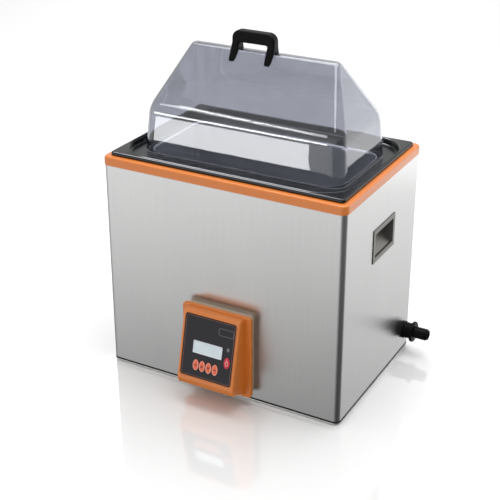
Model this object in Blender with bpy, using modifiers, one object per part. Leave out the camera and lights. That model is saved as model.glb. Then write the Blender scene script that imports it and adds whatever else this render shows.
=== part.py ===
"""Laboratory water bath with a gabled clear lid, a wedge-shaped control panel and a side drain.

Metres, +Z up, +X to the object's right seen from its front, front face towards -Y.
The origin is on the floor under the middle of the whole object, drain and panel included.
"""

import math

import bmesh
import bpy
from mathutils import Matrix, Vector

# Driving dimensions
BODY_WIDTH = 0.545
BODY_DEPTH = 0.379
BODY_BOTTOM = 0.008
BODY_TOP = 0.4632
BODY_CORNER = 0.013
SHEET = 0.001
GAP = 0.0003

RING_TOP = 0.4820
FLANGE_TOP = 0.4895
LEDGE_Z = 0.4775
WELL_BOTTOM = 0.2000

LID_BASE = (0.2280, 0.1150)
LID_SHOULDER = (0.2210, 0.1080)
LID_RIDGE = (0.1650, 0.0095)
LID_SHOULDER_Z = 0.5700
LID_RIDGE_Z = 0.6920
LID_THICKNESS = 0.003

HANDLE_X = -0.021
HANDLE_TOP = 0.7300
HANDLE_SPAN = 0.096
HANDLE_DEPTH = 0.022

PANEL_X = 0.006
PANEL_BOTTOM = 0.021
PANEL_TOP = 0.208
SPACER_DEPTH = 0.015
FLANGE_DEPTH = 0.008
FACE_WIDTH = 0.132
FACE_TOP_Z = 0.206
FACE_BOTTOM_Z = 0.060
FACE_TOP_REACH = 0.041
FACE_BOTTOM_REACH = 0.075

GRIP_Y = 0.005
GRIP_Z = 0.340
GRIP_OPENING = (0.092, 0.052)

DRAIN_Y = 0.155
DRAIN_Z = 0.053
OUTLET = (0.150, 0.060)
PROBE = (-0.150, 0.060)

INLET_X = -0.170
INLET_Z = 0.080

# The housing stands off the origin, because the drain and the panel stick out
HOUSING_PLACE = (-0.0286, 0.0312, 0)

FRONT = -BODY_DEPTH / 2
REAR = BODY_DEPTH / 2
SIDE = BODY_WIDTH / 2

for old in list(bpy.data.objects):
    bpy.data.objects.remove(old, do_unlink=True)

parts = bpy.data.collections.new("water_bath")
cutters = bpy.data.collections.new("cutters")
bpy.context.scene.collection.children.link(parts)
bpy.context.scene.collection.children.link(cutters)

housing_origin = bpy.data.objects.new("housing_origin", None)
housing_origin.location = HOUSING_PLACE
parts.objects.link(housing_origin)


# Materials

def material(name, colour, roughness, metallic=0.0, transmission=0.0):
    """A Principled material of one colour."""
    made = bpy.data.materials.new(name)
    made.use_nodes = True
    shader = made.node_tree.nodes["Principled BSDF"]
    shader.inputs["Base Color"].default_value = (*colour, 1.0)
    shader.inputs["Roughness"].default_value = roughness
    shader.inputs["Metallic"].default_value = metallic
    shader.inputs["Transmission Weight"].default_value = transmission
    return made


BRUSHED = material("brushed_stainless", (0.56, 0.56, 0.56), 0.35, 1.0)
POLISHED = material("polished_dark_stainless", (0.20, 0.20, 0.21), 0.22, 1.0)
GREY_PLASTIC = material("grey_spacer_plastic", (0.30, 0.29, 0.27), 0.45)
ORANGE = material("orange_moulding", (0.80, 0.26, 0.05), 0.38)
CLEAR = material("clear_polycarbonate", (0.90, 0.92, 0.95), 0.05, 0.0, 0.95)
BLACK_PLASTIC = material("black_plastic", (0.012, 0.012, 0.013), 0.42)
RUBBER = material("black_rubber", (0.02, 0.02, 0.02), 0.85)
OVERLAY = material("charcoal_overlay_film", (0.035, 0.035, 0.042), 0.40)
KEY_RED = material("orange_red_key", (0.80, 0.13, 0.07), 0.40)
LCD_GLASS = material("pale_display_window", (0.78, 0.88, 0.90), 0.15)
LAMP_GREY = material("grey_indicator_lens", (0.25, 0.25, 0.27), 0.25)
STEEL = material("zinc_plated_steel", (0.50, 0.50, 0.48), 0.45, 1.0)
BRASS = material("plain_brass", (0.65, 0.48, 0.20), 0.35, 1.0)
BOARD = material("green_circuit_board", (0.03, 0.18, 0.07), 0.5)
HOSE = material("white_silicone_hose", (0.70, 0.70, 0.68), 0.6)


# Mesh helpers

def add_object(name, mesh, surface, collection=parts, parent=None):
    """Link a mesh as a named object with one material."""
    made = bpy.data.objects.new(name, mesh)
    collection.objects.link(made)
    if surface is not None:
        mesh.materials.append(surface)
    made.parent = parent or housing_origin
    return made


def as_cutter(name, mesh, parent=None):
    """A cutting solid, kept out of the model."""
    made = add_object(name, mesh, None, cutters, parent)
    made.hide_render = True
    made.display_type = "WIRE"
    return made


def finish(bm, name):
    """Turn a bmesh into a mesh with outward faces."""
    bmesh.ops.recalc_face_normals(bm, faces=bm.faces)
    mesh = bpy.data.meshes.new(name)
    bm.to_mesh(mesh)
    bm.free()
    return mesh


def rounded_loop(half_x, half_y, radius, z, steps=6):
    """Points of a rounded rectangle at one height, anticlockwise from +X."""
    points = []
    for corner, (sign_x, sign_y) in enumerate(((1, 1), (-1, 1), (-1, -1), (1, -1))):
        for step in range(steps + 1):
            angle = math.radians(90 * corner + 90 * step / steps)
            x = sign_x * (half_x - radius) + radius * math.cos(angle)
            y = sign_y * (half_y - radius) + radius * math.sin(angle)
            points.append((x, y, z))
    return points


def loft(name, loops, cap_first=False, cap_last=False, closed=False):
    """A skin through loops of equal point counts."""
    bm = bmesh.new()
    rings = [[bm.verts.new(point) for point in loop] for loop in loops]
    pairs = list(zip(rings, rings[1:]))
    if closed:
        pairs.append((rings[-1], rings[0]))
    for lower, upper in pairs:
        for index in range(len(lower)):
            after = (index + 1) % len(lower)
            bm.faces.new((lower[index], lower[after], upper[after], upper[index]))
    if cap_first:
        bm.faces.new(rings[0][::-1])
    if cap_last:
        bm.faces.new(rings[-1])
    mesh = bpy.data.meshes.new(name)
    if closed or (cap_first and cap_last):
        bmesh.ops.recalc_face_normals(bm, faces=bm.faces)
    bm.to_mesh(mesh)
    bm.free()
    return mesh


def blend(start, corner, end, count):
    """Quadratic blend between two stations of a lofted profile."""
    stations = []
    for step in range(count + 1):
        t = step / count
        stations.append(tuple(
            (1 - t) ** 2 * a + 2 * t * (1 - t) * b + t * t * c
            for a, b, c in zip(start, corner, end)
        ))
    return stations


def mix(first, second, t):
    """A station between two stations."""
    return tuple(a + (b - a) * t for a, b in zip(first, second))


def box_mesh(name, size, centre=(0, 0, 0)):
    """A box from the cube primitive."""
    bm = bmesh.new()
    bmesh.ops.create_cube(bm, size=1.0)
    bmesh.ops.scale(bm, vec=size, verts=bm.verts)
    bmesh.ops.translate(bm, vec=centre, verts=bm.verts)
    return finish(bm, name)


def cylinder_mesh(name, radius, start, end, segments=24, end_radius=None):
    """A cylinder or cone between two points."""
    start = Vector(start)
    end = Vector(end)
    bm = bmesh.new()
    bmesh.ops.create_cone(
        bm, cap_ends=True, segments=segments, radius1=radius,
        radius2=radius if end_radius is None else end_radius, depth=(end - start).length,
    )
    turn = Vector((0, 0, 1)).rotation_difference(end - start).to_matrix().to_4x4()
    bmesh.ops.transform(bm, matrix=Matrix.Translation((start + end) / 2) @ turn, verts=bm.verts)
    return finish(bm, name)


def prism_mesh(name, profile, low, high, axis="X"):
    """A closed profile extruded along X (profile in Y,Z) or along Y (profile in X,Z)."""
    bm = bmesh.new()
    ends = []
    for along in (low, high):
        if axis == "X":
            ends.append([bm.verts.new((along, u, v)) for u, v in profile])
        else:
            ends.append([bm.verts.new((u, along, v)) for u, v in profile])
    bm.faces.new(ends[0])
    bm.faces.new(ends[1])
    count = len(profile)
    for index in range(count):
        after = (index + 1) % count
        bm.faces.new((ends[0][index], ends[0][after], ends[1][after], ends[1][index]))
    return finish(bm, name)


def ellipse_prism(name, centre, radii, low, high, segments=24):
    """An upright elliptic cylinder in a face frame."""
    bm = bmesh.new()
    bmesh.ops.create_cone(bm, cap_ends=True, segments=segments, radius1=1, radius2=1, depth=high - low)
    bmesh.ops.scale(bm, vec=(radii[0], radii[1], 1), verts=bm.verts)
    bmesh.ops.translate(bm, vec=(centre[0], centre[1], (low + high) / 2), verts=bm.verts)
    return finish(bm, name)


def turned(name, profile, surface, location, axis="Z", steps=24):
    """A closed (radius, height) profile, outer side top to bottom, turned about its axis."""
    bm = bmesh.new()
    ring = [bm.verts.new((radius, 0, height)) for radius, height in profile]
    for first, second in zip(ring, ring[1:]):
        bm.edges.new((first, second))
    if min(radius for radius, _ in profile) > 0:
        bm.edges.new((ring[-1], ring[0]))
    mesh = bpy.data.meshes.new(name)
    bm.to_mesh(mesh)
    bm.free()
    made = add_object(name, mesh, surface)
    made.location = location
    if axis == "X":
        made.rotation_euler = (0, math.pi / 2, 0)
    screw = made.modifiers.new("Screw", "SCREW")
    screw.axis = "Z"
    screw.steps = steps
    screw.render_steps = steps
    screw.use_merge_vertices = True
    screw.merge_threshold = 0.00001
    return made


def solidify(made, thickness):
    """Give a skin its sheet thickness on the side away from its normals."""
    shell = made.modifiers.new("Solidify", "SOLIDIFY")
    shell.thickness = thickness
    shell.offset = -1.0
    shell.use_even_offset = True


def bevel(made, width, segments=2, angle=30):
    """Round the edges sharper than an angle."""
    edge = made.modifiers.new("Bevel", "BEVEL")
    edge.width = width
    edge.segments = segments
    edge.limit_method = "ANGLE"
    edge.angle_limit = math.radians(angle)
    edge.harden_normals = False


def combine(made, other, operation):
    """Boolean with another object."""
    cut = made.modifiers.new("Boolean", "BOOLEAN")
    cut.operation = operation
    cut.solver = "EXACT"
    cut.object = other


def cut_away(made, mesh, parent=None):
    """Cut a solid out of an object."""
    combine(made, as_cutter(made.name + "_cutter", mesh, parent), "DIFFERENCE")


def join_on(made, mesh, parent=None):
    """Add a solid to an object."""
    combine(made, as_cutter(made.name + "_addition", mesh, parent), "UNION")


# Base tray: folded sheet whose edge strip shows under the wrap

def base_strip(inset, z):
    """A loop of the base tray, inset from the wrap's outside."""
    return rounded_loop(SIDE - inset, REAR - inset, BODY_CORNER - inset, z)


TRAY_FLOOR = 0.003
tray_loops = [
    base_strip(0.0003, TRAY_FLOOR),
    base_strip(0.0003, BODY_BOTTOM - GAP),
    base_strip(0.0015, BODY_BOTTOM - GAP),
    base_strip(0.0015, 0.020),
    base_strip(0.0027, 0.020),
    base_strip(0.0027, TRAY_FLOOR + 0.0015),
]
base_tray = add_object("base_tray", loft("base_tray", tray_loops, True, True), STEEL)

# Feet: rubber discs with a stem through the tray and a holding head above it
FOOT_PLACES = {
    "foot_front_left": (-0.243, -0.150),
    "foot_front_right": (0.243, -0.150),
    "foot_rear_left": (-0.243, 0.112),
    "foot_rear_right": (0.243, 0.112),
}
for foot_name, (foot_x, foot_y) in FOOT_PLACES.items():
    hole = cylinder_mesh("stem_hole", 0.0042, (foot_x, foot_y, 0.001), (foot_x, foot_y, 0.007), 16)
    cut_away(base_tray, hole)
    foot_profile = [
        (0.0, 0.0080), (0.0060, 0.0070), (0.0070, 0.0048), (0.0038, 0.0048), (0.0038, 0.0027),
        (0.0145, 0.0027), (0.0155, 0.0020), (0.0150, 0.0), (0.0, 0.0),
    ]
    turned(foot_name, foot_profile, RUBBER, (foot_x, foot_y, 0), steps=20)

# Housing wrap: one sheet bent round all four sides
wrap_loops = [
    rounded_loop(SIDE, REAR, BODY_CORNER, BODY_BOTTOM),
    rounded_loop(SIDE, REAR, BODY_CORNER, BODY_TOP),
]
housing_wrap = add_object("housing_wrap", loft("housing_wrap", wrap_loops), BRUSHED)
solidify(housing_wrap, SHEET)
wire_window = box_mesh("wire_window", (0.100, 0.02, 0.120), (PANEL_X, FRONT, 0.115))
cut_away(housing_wrap, wire_window)
drain_hole = cylinder_mesh(
    "drain_hole", 0.0125, (SIDE - 0.01, DRAIN_Y, DRAIN_Z), (SIDE + 0.01, DRAIN_Y, DRAIN_Z), 24)
cut_away(housing_wrap, drain_hole)
inlet_window = box_mesh("inlet_window", (0.0290, 0.02, 0.0500), (INLET_X, REAR, INLET_Z))
cut_away(housing_wrap, inlet_window)
stud_hole = cylinder_mesh("stud_hole", 0.0034, (-0.120, REAR - 0.01, 0.055), (-0.120, REAR + 0.01, 0.055), 16)
cut_away(housing_wrap, stud_hole)
for slot in range(9):
    slot_x = 0.040 + 0.012 * slot
    cut_away(housing_wrap, box_mesh("vent_slot", (0.004, 0.02, 0.045), (slot_x, REAR, 0.080)))

# Trim ring: moulded frame capping the wrap, with a skirt down inside it
RING_HALF = (SIDE + 0.0015, REAR + 0.0015)
RING_SECTION = [
    (0.0, BODY_TOP + GAP), (0.0, 0.4775), (0.0008, 0.4800), (0.0030, RING_TOP), (0.0135, RING_TOP),
    (0.0150, 0.4808), (0.0150, 0.4780), (0.0050, 0.4780), (0.0050, 0.4550), (0.0032, 0.4550),
    (0.0032, BODY_TOP + GAP),
]
ring_loops = [
    rounded_loop(RING_HALF[0] - inset, RING_HALF[1] - inset, max(BODY_CORNER + 0.0015 - inset, 0.004), z)
    for inset, z in RING_SECTION
]
trim_ring = add_object("trim_ring", loft("trim_ring", ring_loops, closed=True), ORANGE)

# Bath tank: deep-drawn rim, stepped ledge for the lid and a rounded well
TANK_STATIONS = [
    (0.2625, 0.1770, 0.0080, RING_TOP + GAP),
    (0.2625, 0.1770, 0.0080, 0.4865),
    (0.2620, 0.1765, 0.0078, 0.4882),
    (0.2606, 0.1751, 0.0070, 0.4892),
    (0.2588, 0.1733, 0.0060, FLANGE_TOP),
    (0.2560, 0.1695, 0.0740, FLANGE_TOP),
    (0.2542, 0.1677, 0.0725, 0.4889),
    (0.2532, 0.1667, 0.0715, 0.4872),
    (0.2526, 0.1661, 0.0710, 0.4798),
    (0.2516, 0.1651, 0.0700, 0.4782),
    (0.2495, 0.1630, 0.0680, LEDGE_Z),
    (0.2185, 0.1070, 0.0375, LEDGE_Z),
    (0.2160, 0.1045, 0.0350, 0.4768),
    (0.2150, 0.1035, 0.0340, 0.4745),
    (0.2122, 0.1007, 0.0312, 0.2220),
    (0.2106, 0.0991, 0.0296, 0.2125),
    (0.2060, 0.0945, 0.0255, 0.2050),
    (0.1975, 0.0860, 0.0200, 0.2010),
    (0.1890, 0.0775, 0.0150, WELL_BOTTOM),
]
tank_loops = [rounded_loop(*station) for station in TANK_STATIONS]
bath_tank = add_object("bath_tank", loft("bath_tank", tank_loops, cap_last=True), POLISHED)
solidify(bath_tank, SHEET)
for hole_x, hole_y in (OUTLET, PROBE):
    hole = cylinder_mesh("tank_hole", 0.0102, (hole_x, hole_y, 0.19), (hole_x, hole_y, 0.21), 20)
    cut_away(bath_tank, hole)

# Perforated shelf: lifts out of the well on four legs
SHELF_TOP = 0.2412
SHELF_OUTLINE = (0.2020, 0.0905, 0.0380)
shelf_loops = [rounded_loop(*SHELF_OUTLINE, z) for z in (0.2400, SHELF_TOP)]
well_shelf = add_object("well_shelf", loft("well_shelf", shelf_loops, True, True), BRUSHED)
for leg_x in (-0.180, 0.180):
    for leg_y in (-0.055, 0.055):
        leg = cylinder_mesh("shelf_leg", 0.0040, (leg_x, leg_y, WELL_BOTTOM + GAP), (leg_x, leg_y, 0.2405), 12)
        join_on(well_shelf, leg)
HOLE_RADIUS = 0.022
perforations = bmesh.new()
for column in range(5):
    for row in range(2):
        spot = Matrix.Translation((-0.152 + 0.076 * column, -0.042 + 0.084 * row, 0.2406))
        bmesh.ops.create_cone(
            perforations, cap_ends=True, segments=20, radius1=HOLE_RADIUS, radius2=HOLE_RADIUS, depth=0.01,
            matrix=spot)
cut_away(well_shelf, finish(perforations, "perforations"))

# Heating plate, cut-out thermostat, probe and outlet under the well
HEATER_TOP = WELL_BOTTOM - SHEET - GAP
add_object("heating_plate", box_mesh("heating_plate", (0.22, 0.13, 0.004), (0, 0, HEATER_TOP - 0.002)), STEEL)
thermostat_top = HEATER_TOP - 0.004 - GAP
thermostat = cylinder_mesh("limit_thermostat", 0.0100, (0.06, 0, thermostat_top - 0.013), (0.06, 0, thermostat_top))
add_object("limit_thermostat", thermostat, BRASS)

PROBE_PROFILE = [
    (0.0, 0.2230), (0.0022, 0.2224), (0.0030, 0.2205), (0.0030, 0.2060), (0.0120, 0.2050),
    (0.0130, 0.2003), (0.0098, 0.2003), (0.0098, 0.1860), (0.0, 0.1860),
]
turned("temperature_probe", PROBE_PROFILE, BRUSHED, (*PROBE, 0))
OUTLET_PROFILE = [
    (0.0140, 0.2025), (0.0150, 0.2003), (0.0098, 0.2003), (0.0098, 0.1750), (0.0060, 0.1750), (0.0060, 0.2025),
]
turned("tank_outlet", OUTLET_PROFILE, BRASS, (*OUTLET, 0))
NUT_PROFILE = [(0.0165, 0.1987), (0.0165, 0.1905), (0.0117, 0.1905), (0.0117, 0.1987)]
turned("outlet_nut", NUT_PROFILE, BRASS, (*OUTLET, 0), steps=6)
turned("probe_nut", NUT_PROFILE, BRASS, (*PROBE, 0), steps=6)

# Drain: fitting through the right wall, turning collar and ribbed hose nozzle
DRAIN_SPOT = (SIDE, DRAIN_Y, DRAIN_Z)
BORE = 0.0085
DRAIN_STEM = -0.035
drain_profile = [
    (0.0165, 0.0205), (0.0175, 0.0190), (0.0175, 0.0060), (0.0195, 0.0045), (0.0195, 0.0018),
    (0.0115, 0.0018), (0.0115, DRAIN_STEM), (BORE, DRAIN_STEM), (BORE, 0.0205),
]
turned("drain_body", drain_profile, BLACK_PLASTIC, DRAIN_SPOT, "X")
gasket_profile = [(0.0190, 0.0015), (0.0190, GAP), (0.0121, GAP), (0.0121, 0.0015)]
turned("drain_gasket", gasket_profile, RUBBER, DRAIN_SPOT, "X")
locknut_profile = [(0.0200, -0.0013), (0.0200, -0.0095), (0.0137, -0.0095), (0.0137, -0.0013)]
turned("drain_locknut", locknut_profile, BLACK_PLASTIC, DRAIN_SPOT, "X", steps=6)
collar_profile = [
    (0.0215, 0.0272), (0.0230, 0.0258), (0.0230, 0.0222), (0.0215, 0.0208), (0.0129, 0.0208), (0.0129, 0.0272),
]
turned("drain_collar", collar_profile, BLACK_PLASTIC, DRAIN_SPOT, "X")
nozzle_profile = [(0.0105, 0.0590)]
for rib in range(4):
    rib_foot = 0.0530 - 0.0066 * rib
    nozzle_profile += [(0.0134, rib_foot), (0.0134, rib_foot - 0.0012), (0.0120, rib_foot - 0.0014)]
nozzle_profile += [(0.0125, 0.0278), (0.0125, 0.0209), (BORE, 0.0209), (BORE, 0.0590)]
turned("drain_nozzle", nozzle_profile, BLACK_PLASTIC, DRAIN_SPOT, "X")


def bezier_point(control, t):
    """A point on a cubic curve."""
    a, b, c, d = (Vector(point) for point in control)
    return (1 - t) ** 3 * a + 3 * t * (1 - t) ** 2 * b + 3 * t * t * (1 - t) * c + t ** 3 * d


hose_end = SIDE + DRAIN_STEM - 2 * GAP
hose_route = [
    (*OUTLET, 0.1745), (*OUTLET, 0.045), (OUTLET[0] - 0.02, DRAIN_Y, DRAIN_Z), (hose_end, DRAIN_Y, DRAIN_Z),
]
hose_curve = bpy.data.curves.new("drain_hose", "CURVE")
hose_curve.dimensions = "3D"
hose_curve.bevel_depth = 0.0085
hose_curve.bevel_resolution = 2
hose_curve.use_fill_caps = True
spline = hose_curve.splines.new("POLY")
HOSE_POINTS = 20
spline.points.add(HOSE_POINTS - 1)
for index, point in enumerate(spline.points):
    point.co = (*bezier_point(hose_route, index / (HOSE_POINTS - 1)), 1)
hose_curve.materials.append(HOSE)
drain_hose = bpy.data.objects.new("drain_hose", hose_curve)
drain_hose.parent = housing_origin
parts.objects.link(drain_hose)


# Lid: thermoformed hipped dome with rounded shoulders

def lid_stations(grow=0.0):
    """Half width, half depth, corner radius and height of the dome's outside, grown by a margin."""
    foot = (*LID_BASE, 0.030, LEDGE_Z + GAP)
    base = (*LID_BASE, 0.030, LEDGE_Z + 0.006)
    shoulder = (*LID_SHOULDER, 0.030, LID_SHOULDER_Z)
    ridge = (*LID_RIDGE, LID_RIDGE[1], LID_RIDGE_Z)
    crown = (LID_RIDGE[0] - 0.006, 0.0036, 0.0034, LID_RIDGE_Z)
    outline = [foot, base]
    outline += blend(mix(shoulder, base, 0.16), shoulder, mix(shoulder, ridge, 0.13), 5)
    outline += [mix(shoulder, ridge, 0.5)]
    outline += blend(mix(shoulder, ridge, 0.95), ridge, crown, 3)
    return [(x + grow, y + grow, r + grow, z + grow) for x, y, r, z in outline]


lid_loops = [rounded_loop(*station, steps=7) for station in lid_stations()]
lid_dome = add_object("lid_dome", loft("lid_dome", lid_loops, cap_last=True), CLEAR)
solidify(lid_dome, LID_THICKNESS)
screw_spots = [HANDLE_X + side * 0.040 for side in (-1, 1)]
for spot in screw_spots:
    cut_away(lid_dome, cylinder_mesh("screw_hole", 0.0024, (spot, 0, 0.680), (spot, 0, 0.700), 16))


def arc(centre, radius, start, end, count):
    """Points of an arc in a plane, angles in degrees."""
    return [
        (centre[0] + radius * math.cos(math.radians(start + (end - start) * step / count)),
         centre[1] + radius * math.sin(math.radians(start + (end - start) * step / count)))
        for step in range(count + 1)
    ]


# Handle: a bow with saddle feet on the ridge
BAR_HEIGHT = 0.022
LEG_WIDTH = 0.014
half_span = HANDLE_SPAN / 2
bar_bottom = HANDLE_TOP - BAR_HEIGHT
inner_span = half_span - LEG_WIDTH
leg_end = 0.6680
bow_profile = [(half_span + 0.001, leg_end)]
bow_profile += arc((half_span - 0.013, HANDLE_TOP - 0.013), 0.013, 0, 90, 5)
bow_profile += arc((0.013 - half_span, HANDLE_TOP - 0.013), 0.013, 90, 180, 5)
bow_profile += [(-half_span - 0.001, leg_end), (-inner_span - 0.001, leg_end)]
bow_profile += arc((0.005 - inner_span, bar_bottom - 0.005), 0.005, 180, 90, 3)
bow_profile += arc((inner_span - 0.005, bar_bottom - 0.005), 0.005, 90, 0, 3)
bow_profile += [(inner_span + 0.001, leg_end)]
bow = prism_mesh("lid_handle", bow_profile, -HANDLE_DEPTH / 2, HANDLE_DEPTH / 2, "Y")
lid_handle = add_object("lid_handle", bow, BLACK_PLASTIC)
lid_handle.location = (HANDLE_X, 0, 0)
bevel(lid_handle, 0.004, 2, 50)
for side in (-1, 1):
    foot_loops = [
        [(x + side * (half_span - LEG_WIDTH / 2), y, z) for x, y, z in rounded_loop(0.0071, reach, 0.0035, height, 3)]
        for reach, height in ((0.0285, leg_end + 0.0005), (0.0098, 0.7060))
    ]
    join_on(lid_handle, loft("saddle_foot", foot_loops, True, True), lid_handle)
lid_clearance = loft(
    "lid_clearance", [rounded_loop(*station, steps=7) for station in lid_stations(GAP)], True, True)
cut_away(lid_handle, lid_clearance)
for spot in screw_spots:
    cut_away(lid_handle, cylinder_mesh("screw_socket", 0.0022, (spot, 0, 0.680), (spot, 0, 0.7125), 16))

SCREW_PROFILE = [(0.0, 0.7115), (0.0018, 0.7105), (0.0018, 0.6884), (0.0042, 0.6880), (0.0040, 0.6855), (0.0, 0.6850)]
for name, spot in zip(("handle_screw_left", "handle_screw_right"), screw_spots):
    turned(name, SCREW_PROFILE, STEEL, (spot, 0, 0), steps=16)


# Hand grips: sheet-metal scoops in both side walls

def grip_pocket(name, side):
    """A framed scoop, deepest at its top."""
    half_y = GRIP_OPENING[0] / 2
    half_z = GRIP_OPENING[1] / 2
    face = SIDE + GAP
    wall = 0.0015
    scoop = [
        (face + 0.004, -half_z), (face + 0.004, half_z), (face - 0.042, half_z), (face - 0.042, half_z - 0.008),
        (face - 0.004, -half_z),
    ]
    shell = [
        (face + 0.0005, -half_z - wall), (face + 0.0005, half_z + wall), (face - 0.042 - wall, half_z + wall),
        (face - 0.042 - wall, half_z - 0.008 - wall), (face - 0.004 - wall, -half_z - wall),
    ]
    opening = [
        (SIDE - 0.03, -half_z - 0.0025), (SIDE + 0.03, -half_z - 0.0025), (SIDE + 0.03, half_z + 0.0025),
        (SIDE - 0.03, half_z + 0.0025),
    ]

    def placed(profile, half_width, label):
        points = [(side * x, GRIP_Z + z) for x, z in profile]
        return prism_mesh(label, points, GRIP_Y - half_width, GRIP_Y + half_width, "Y")

    frame = box_mesh(name, (0.0015, 0.110, 0.073), (side * (face + 0.00075), GRIP_Y, GRIP_Z))
    pocket = add_object(name, frame, BRUSHED)
    bevel(pocket, 0.0006, 1)
    join_on(pocket, placed(shell, half_y + wall, "scoop_shell"))
    cut_away(pocket, placed(scoop, half_y, "scoop_space"))
    cut_away(housing_wrap, placed(opening, half_y + 0.0025, "grip_opening"))


grip_pocket("grip_pocket_right", 1)
grip_pocket("grip_pocket_left", -1)


# Control panel, built on two frames: one square to the wall and one on the sloping face

PANEL_MID = (PANEL_BOTTOM + PANEL_TOP) / 2
panel_mount = bpy.data.objects.new("panel_mount", None)
panel_mount.location = (PANEL_X, FRONT, PANEL_MID)
panel_mount.rotation_euler = (math.pi / 2, 0, 0)
panel_mount.parent = housing_origin
parts.objects.link(panel_mount)

spacer_loops = [
    rounded_loop(0.0745, 0.0890, 0.006, GAP),
    rounded_loop(0.0745, 0.0890, 0.006, SPACER_DEPTH),
    rounded_loop(0.0720, 0.0865, 0.0035, SPACER_DEPTH),
    rounded_loop(0.0720, 0.0865, 0.0035, GAP),
]
add_object("panel_spacer", loft("panel_spacer", spacer_loops, closed=True), GREY_PLASTIC, parent=panel_mount)

flange_back = SPACER_DEPTH + GAP
flange_front = flange_back + FLANGE_DEPTH
wedge_profile = [
    (0.2045, flange_back + 0.002), (0.2060, FACE_TOP_REACH - 0.004), (FACE_TOP_Z - 0.0005, FACE_TOP_REACH),
    (FACE_BOTTOM_Z, FACE_BOTTOM_REACH), (FACE_BOTTOM_Z - 0.011, FACE_BOTTOM_REACH - 0.003),
    (0.0240, flange_back + 0.002),
]
cavity_profile = [
    (0.2010, flange_back - 0.01), (0.2010, FACE_TOP_REACH - 0.005), (FACE_BOTTOM_Z + 0.001, FACE_BOTTOM_REACH - 0.006),
    (FACE_BOTTOM_Z - 0.007, FACE_BOTTOM_REACH - 0.007), (0.0290, flange_back + 0.004), (0.0290, flange_back - 0.01),
]


def side_profile(profile):
    """Heights and reaches as the mount frame's Y and Z."""
    return [(height - PANEL_MID, reach) for height, reach in profile]


wedge = prism_mesh("panel_housing", side_profile(wedge_profile), -FACE_WIDTH / 2, FACE_WIDTH / 2)
panel_housing = add_object("panel_housing", wedge, ORANGE, parent=panel_mount)
bevel(panel_housing, 0.004, 3, 25)
flange_loops = [
    rounded_loop(0.0800, 0.0935, 0.008, flange_back),
    rounded_loop(0.0800, 0.0935, 0.008, flange_front - 0.002),
    rounded_loop(0.0794, 0.0929, 0.0074, flange_front - 0.0006),
    rounded_loop(0.0780, 0.0915, 0.006, flange_front),
]
join_on(panel_housing, loft("panel_flange", flange_loops, True, True), panel_mount)
cavity_half = FACE_WIDTH / 2 - 0.003
cut_away(panel_housing, prism_mesh("cavity", side_profile(cavity_profile), -cavity_half, cavity_half), panel_mount)

face_rise = FACE_TOP_Z - FACE_BOTTOM_Z
face_lean = FACE_BOTTOM_REACH - FACE_TOP_REACH
FACE_TILT = math.atan2(face_lean, face_rise)
panel_face = bpy.data.objects.new("panel_face", None)
panel_face.location = (0, (FACE_TOP_Z + FACE_BOTTOM_Z) / 2 - PANEL_MID, (FACE_TOP_REACH + FACE_BOTTOM_REACH) / 2)
panel_face.rotation_euler = (-FACE_TILT, 0, 0)
panel_face.parent = panel_mount
parts.objects.link(panel_face)

OVERLAY_SIZE = (0.118, 0.132)
OVERLAY_Y = 0.0012
RECESS = 0.0012
FILM = (-0.0009, -0.0001)
DISPLAY = (-0.0012, 0.0004)
DISPLAY_SIZE = (0.0675, 0.0266)
KEY_Y = -0.0378
KEY_PITCH = 0.0149
KEY_RADII = (0.0068, 0.0117)
KEY_CENTRES = {f"key_{number + 1}": (-0.0245 + KEY_PITCH * number, KEY_Y) for number in range(4)}
KEY_CENTRES["power_key"] = (0.0458, -0.0165)
LAMP_CENTRE = (0.0453, 0.0115)
LAMP_RADII = (0.0030, 0.0046)
SLACK = 0.0003


def face_box(label, size, centre, low, high):
    """A box in the face frame."""
    return box_mesh(label, (size[0], size[1], high - low), (centre[0], centre[1], (low + high) / 2))


recess = face_box("recess", (OVERLAY_SIZE[0] + 2 * SLACK, OVERLAY_SIZE[1] + 2 * SLACK), (0, OVERLAY_Y), -RECESS, 0.01)
cut_away(panel_housing, recess, panel_face)
sight = face_box("sight", (DISPLAY_SIZE[0] - 0.005, DISPLAY_SIZE[1] - 0.005), DISPLAY, -0.01, 0.01)
cut_away(panel_housing, sight, panel_face)

film = face_box("panel_overlay", OVERLAY_SIZE, (0, OVERLAY_Y), *FILM)
panel_overlay = add_object("panel_overlay", film, OVERLAY, parent=panel_face)
window_hole = (DISPLAY_SIZE[0] + 2 * SLACK, DISPLAY_SIZE[1] + 2 * SLACK)
cut_away(panel_overlay, face_box("window_hole", window_hole, DISPLAY, -0.01, 0.01), panel_face)
add_object("display_window", face_box("display_window", DISPLAY_SIZE, DISPLAY, *FILM), LCD_GLASS, parent=panel_face)

for key_name, centre in KEY_CENTRES.items():
    hole_radii = (KEY_RADII[0] + SLACK, KEY_RADII[1] + SLACK)
    for plate in (panel_overlay, panel_housing):
        cut_away(plate, ellipse_prism("key_hole", centre, hole_radii, -0.01, 0.01), panel_face)
    cap = add_object(key_name, ellipse_prism(key_name, (0, 0), KEY_RADII, -0.0070, 0.0012), KEY_RED, parent=panel_face)
    cap.location = (*centre, 0)
    bevel(cap, 0.0005, 1, 60)

lamp_hole = (LAMP_RADII[0] + SLACK, LAMP_RADII[1] + SLACK)
for plate in (panel_overlay, panel_housing):
    cut_away(plate, ellipse_prism("lamp_hole", LAMP_CENTRE, lamp_hole, -0.01, 0.01, 16), panel_face)
lamp = ellipse_prism("indicator_lens", LAMP_CENTRE, LAMP_RADII, -0.0070, 0.0003, 16)
add_object("indicator_lens", lamp, LAMP_GREY, parent=panel_face)

module = face_box("display_module", (0.080, 0.036), DISPLAY, -0.0135, -0.0063)
add_object("display_module", module, BLACK_PLASTIC, parent=panel_face)
board = face_box("key_board", (0.112, 0.112), (0, 0), -0.0155, -0.0139)
add_object("key_board", board, BOARD, parent=panel_face)

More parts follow.
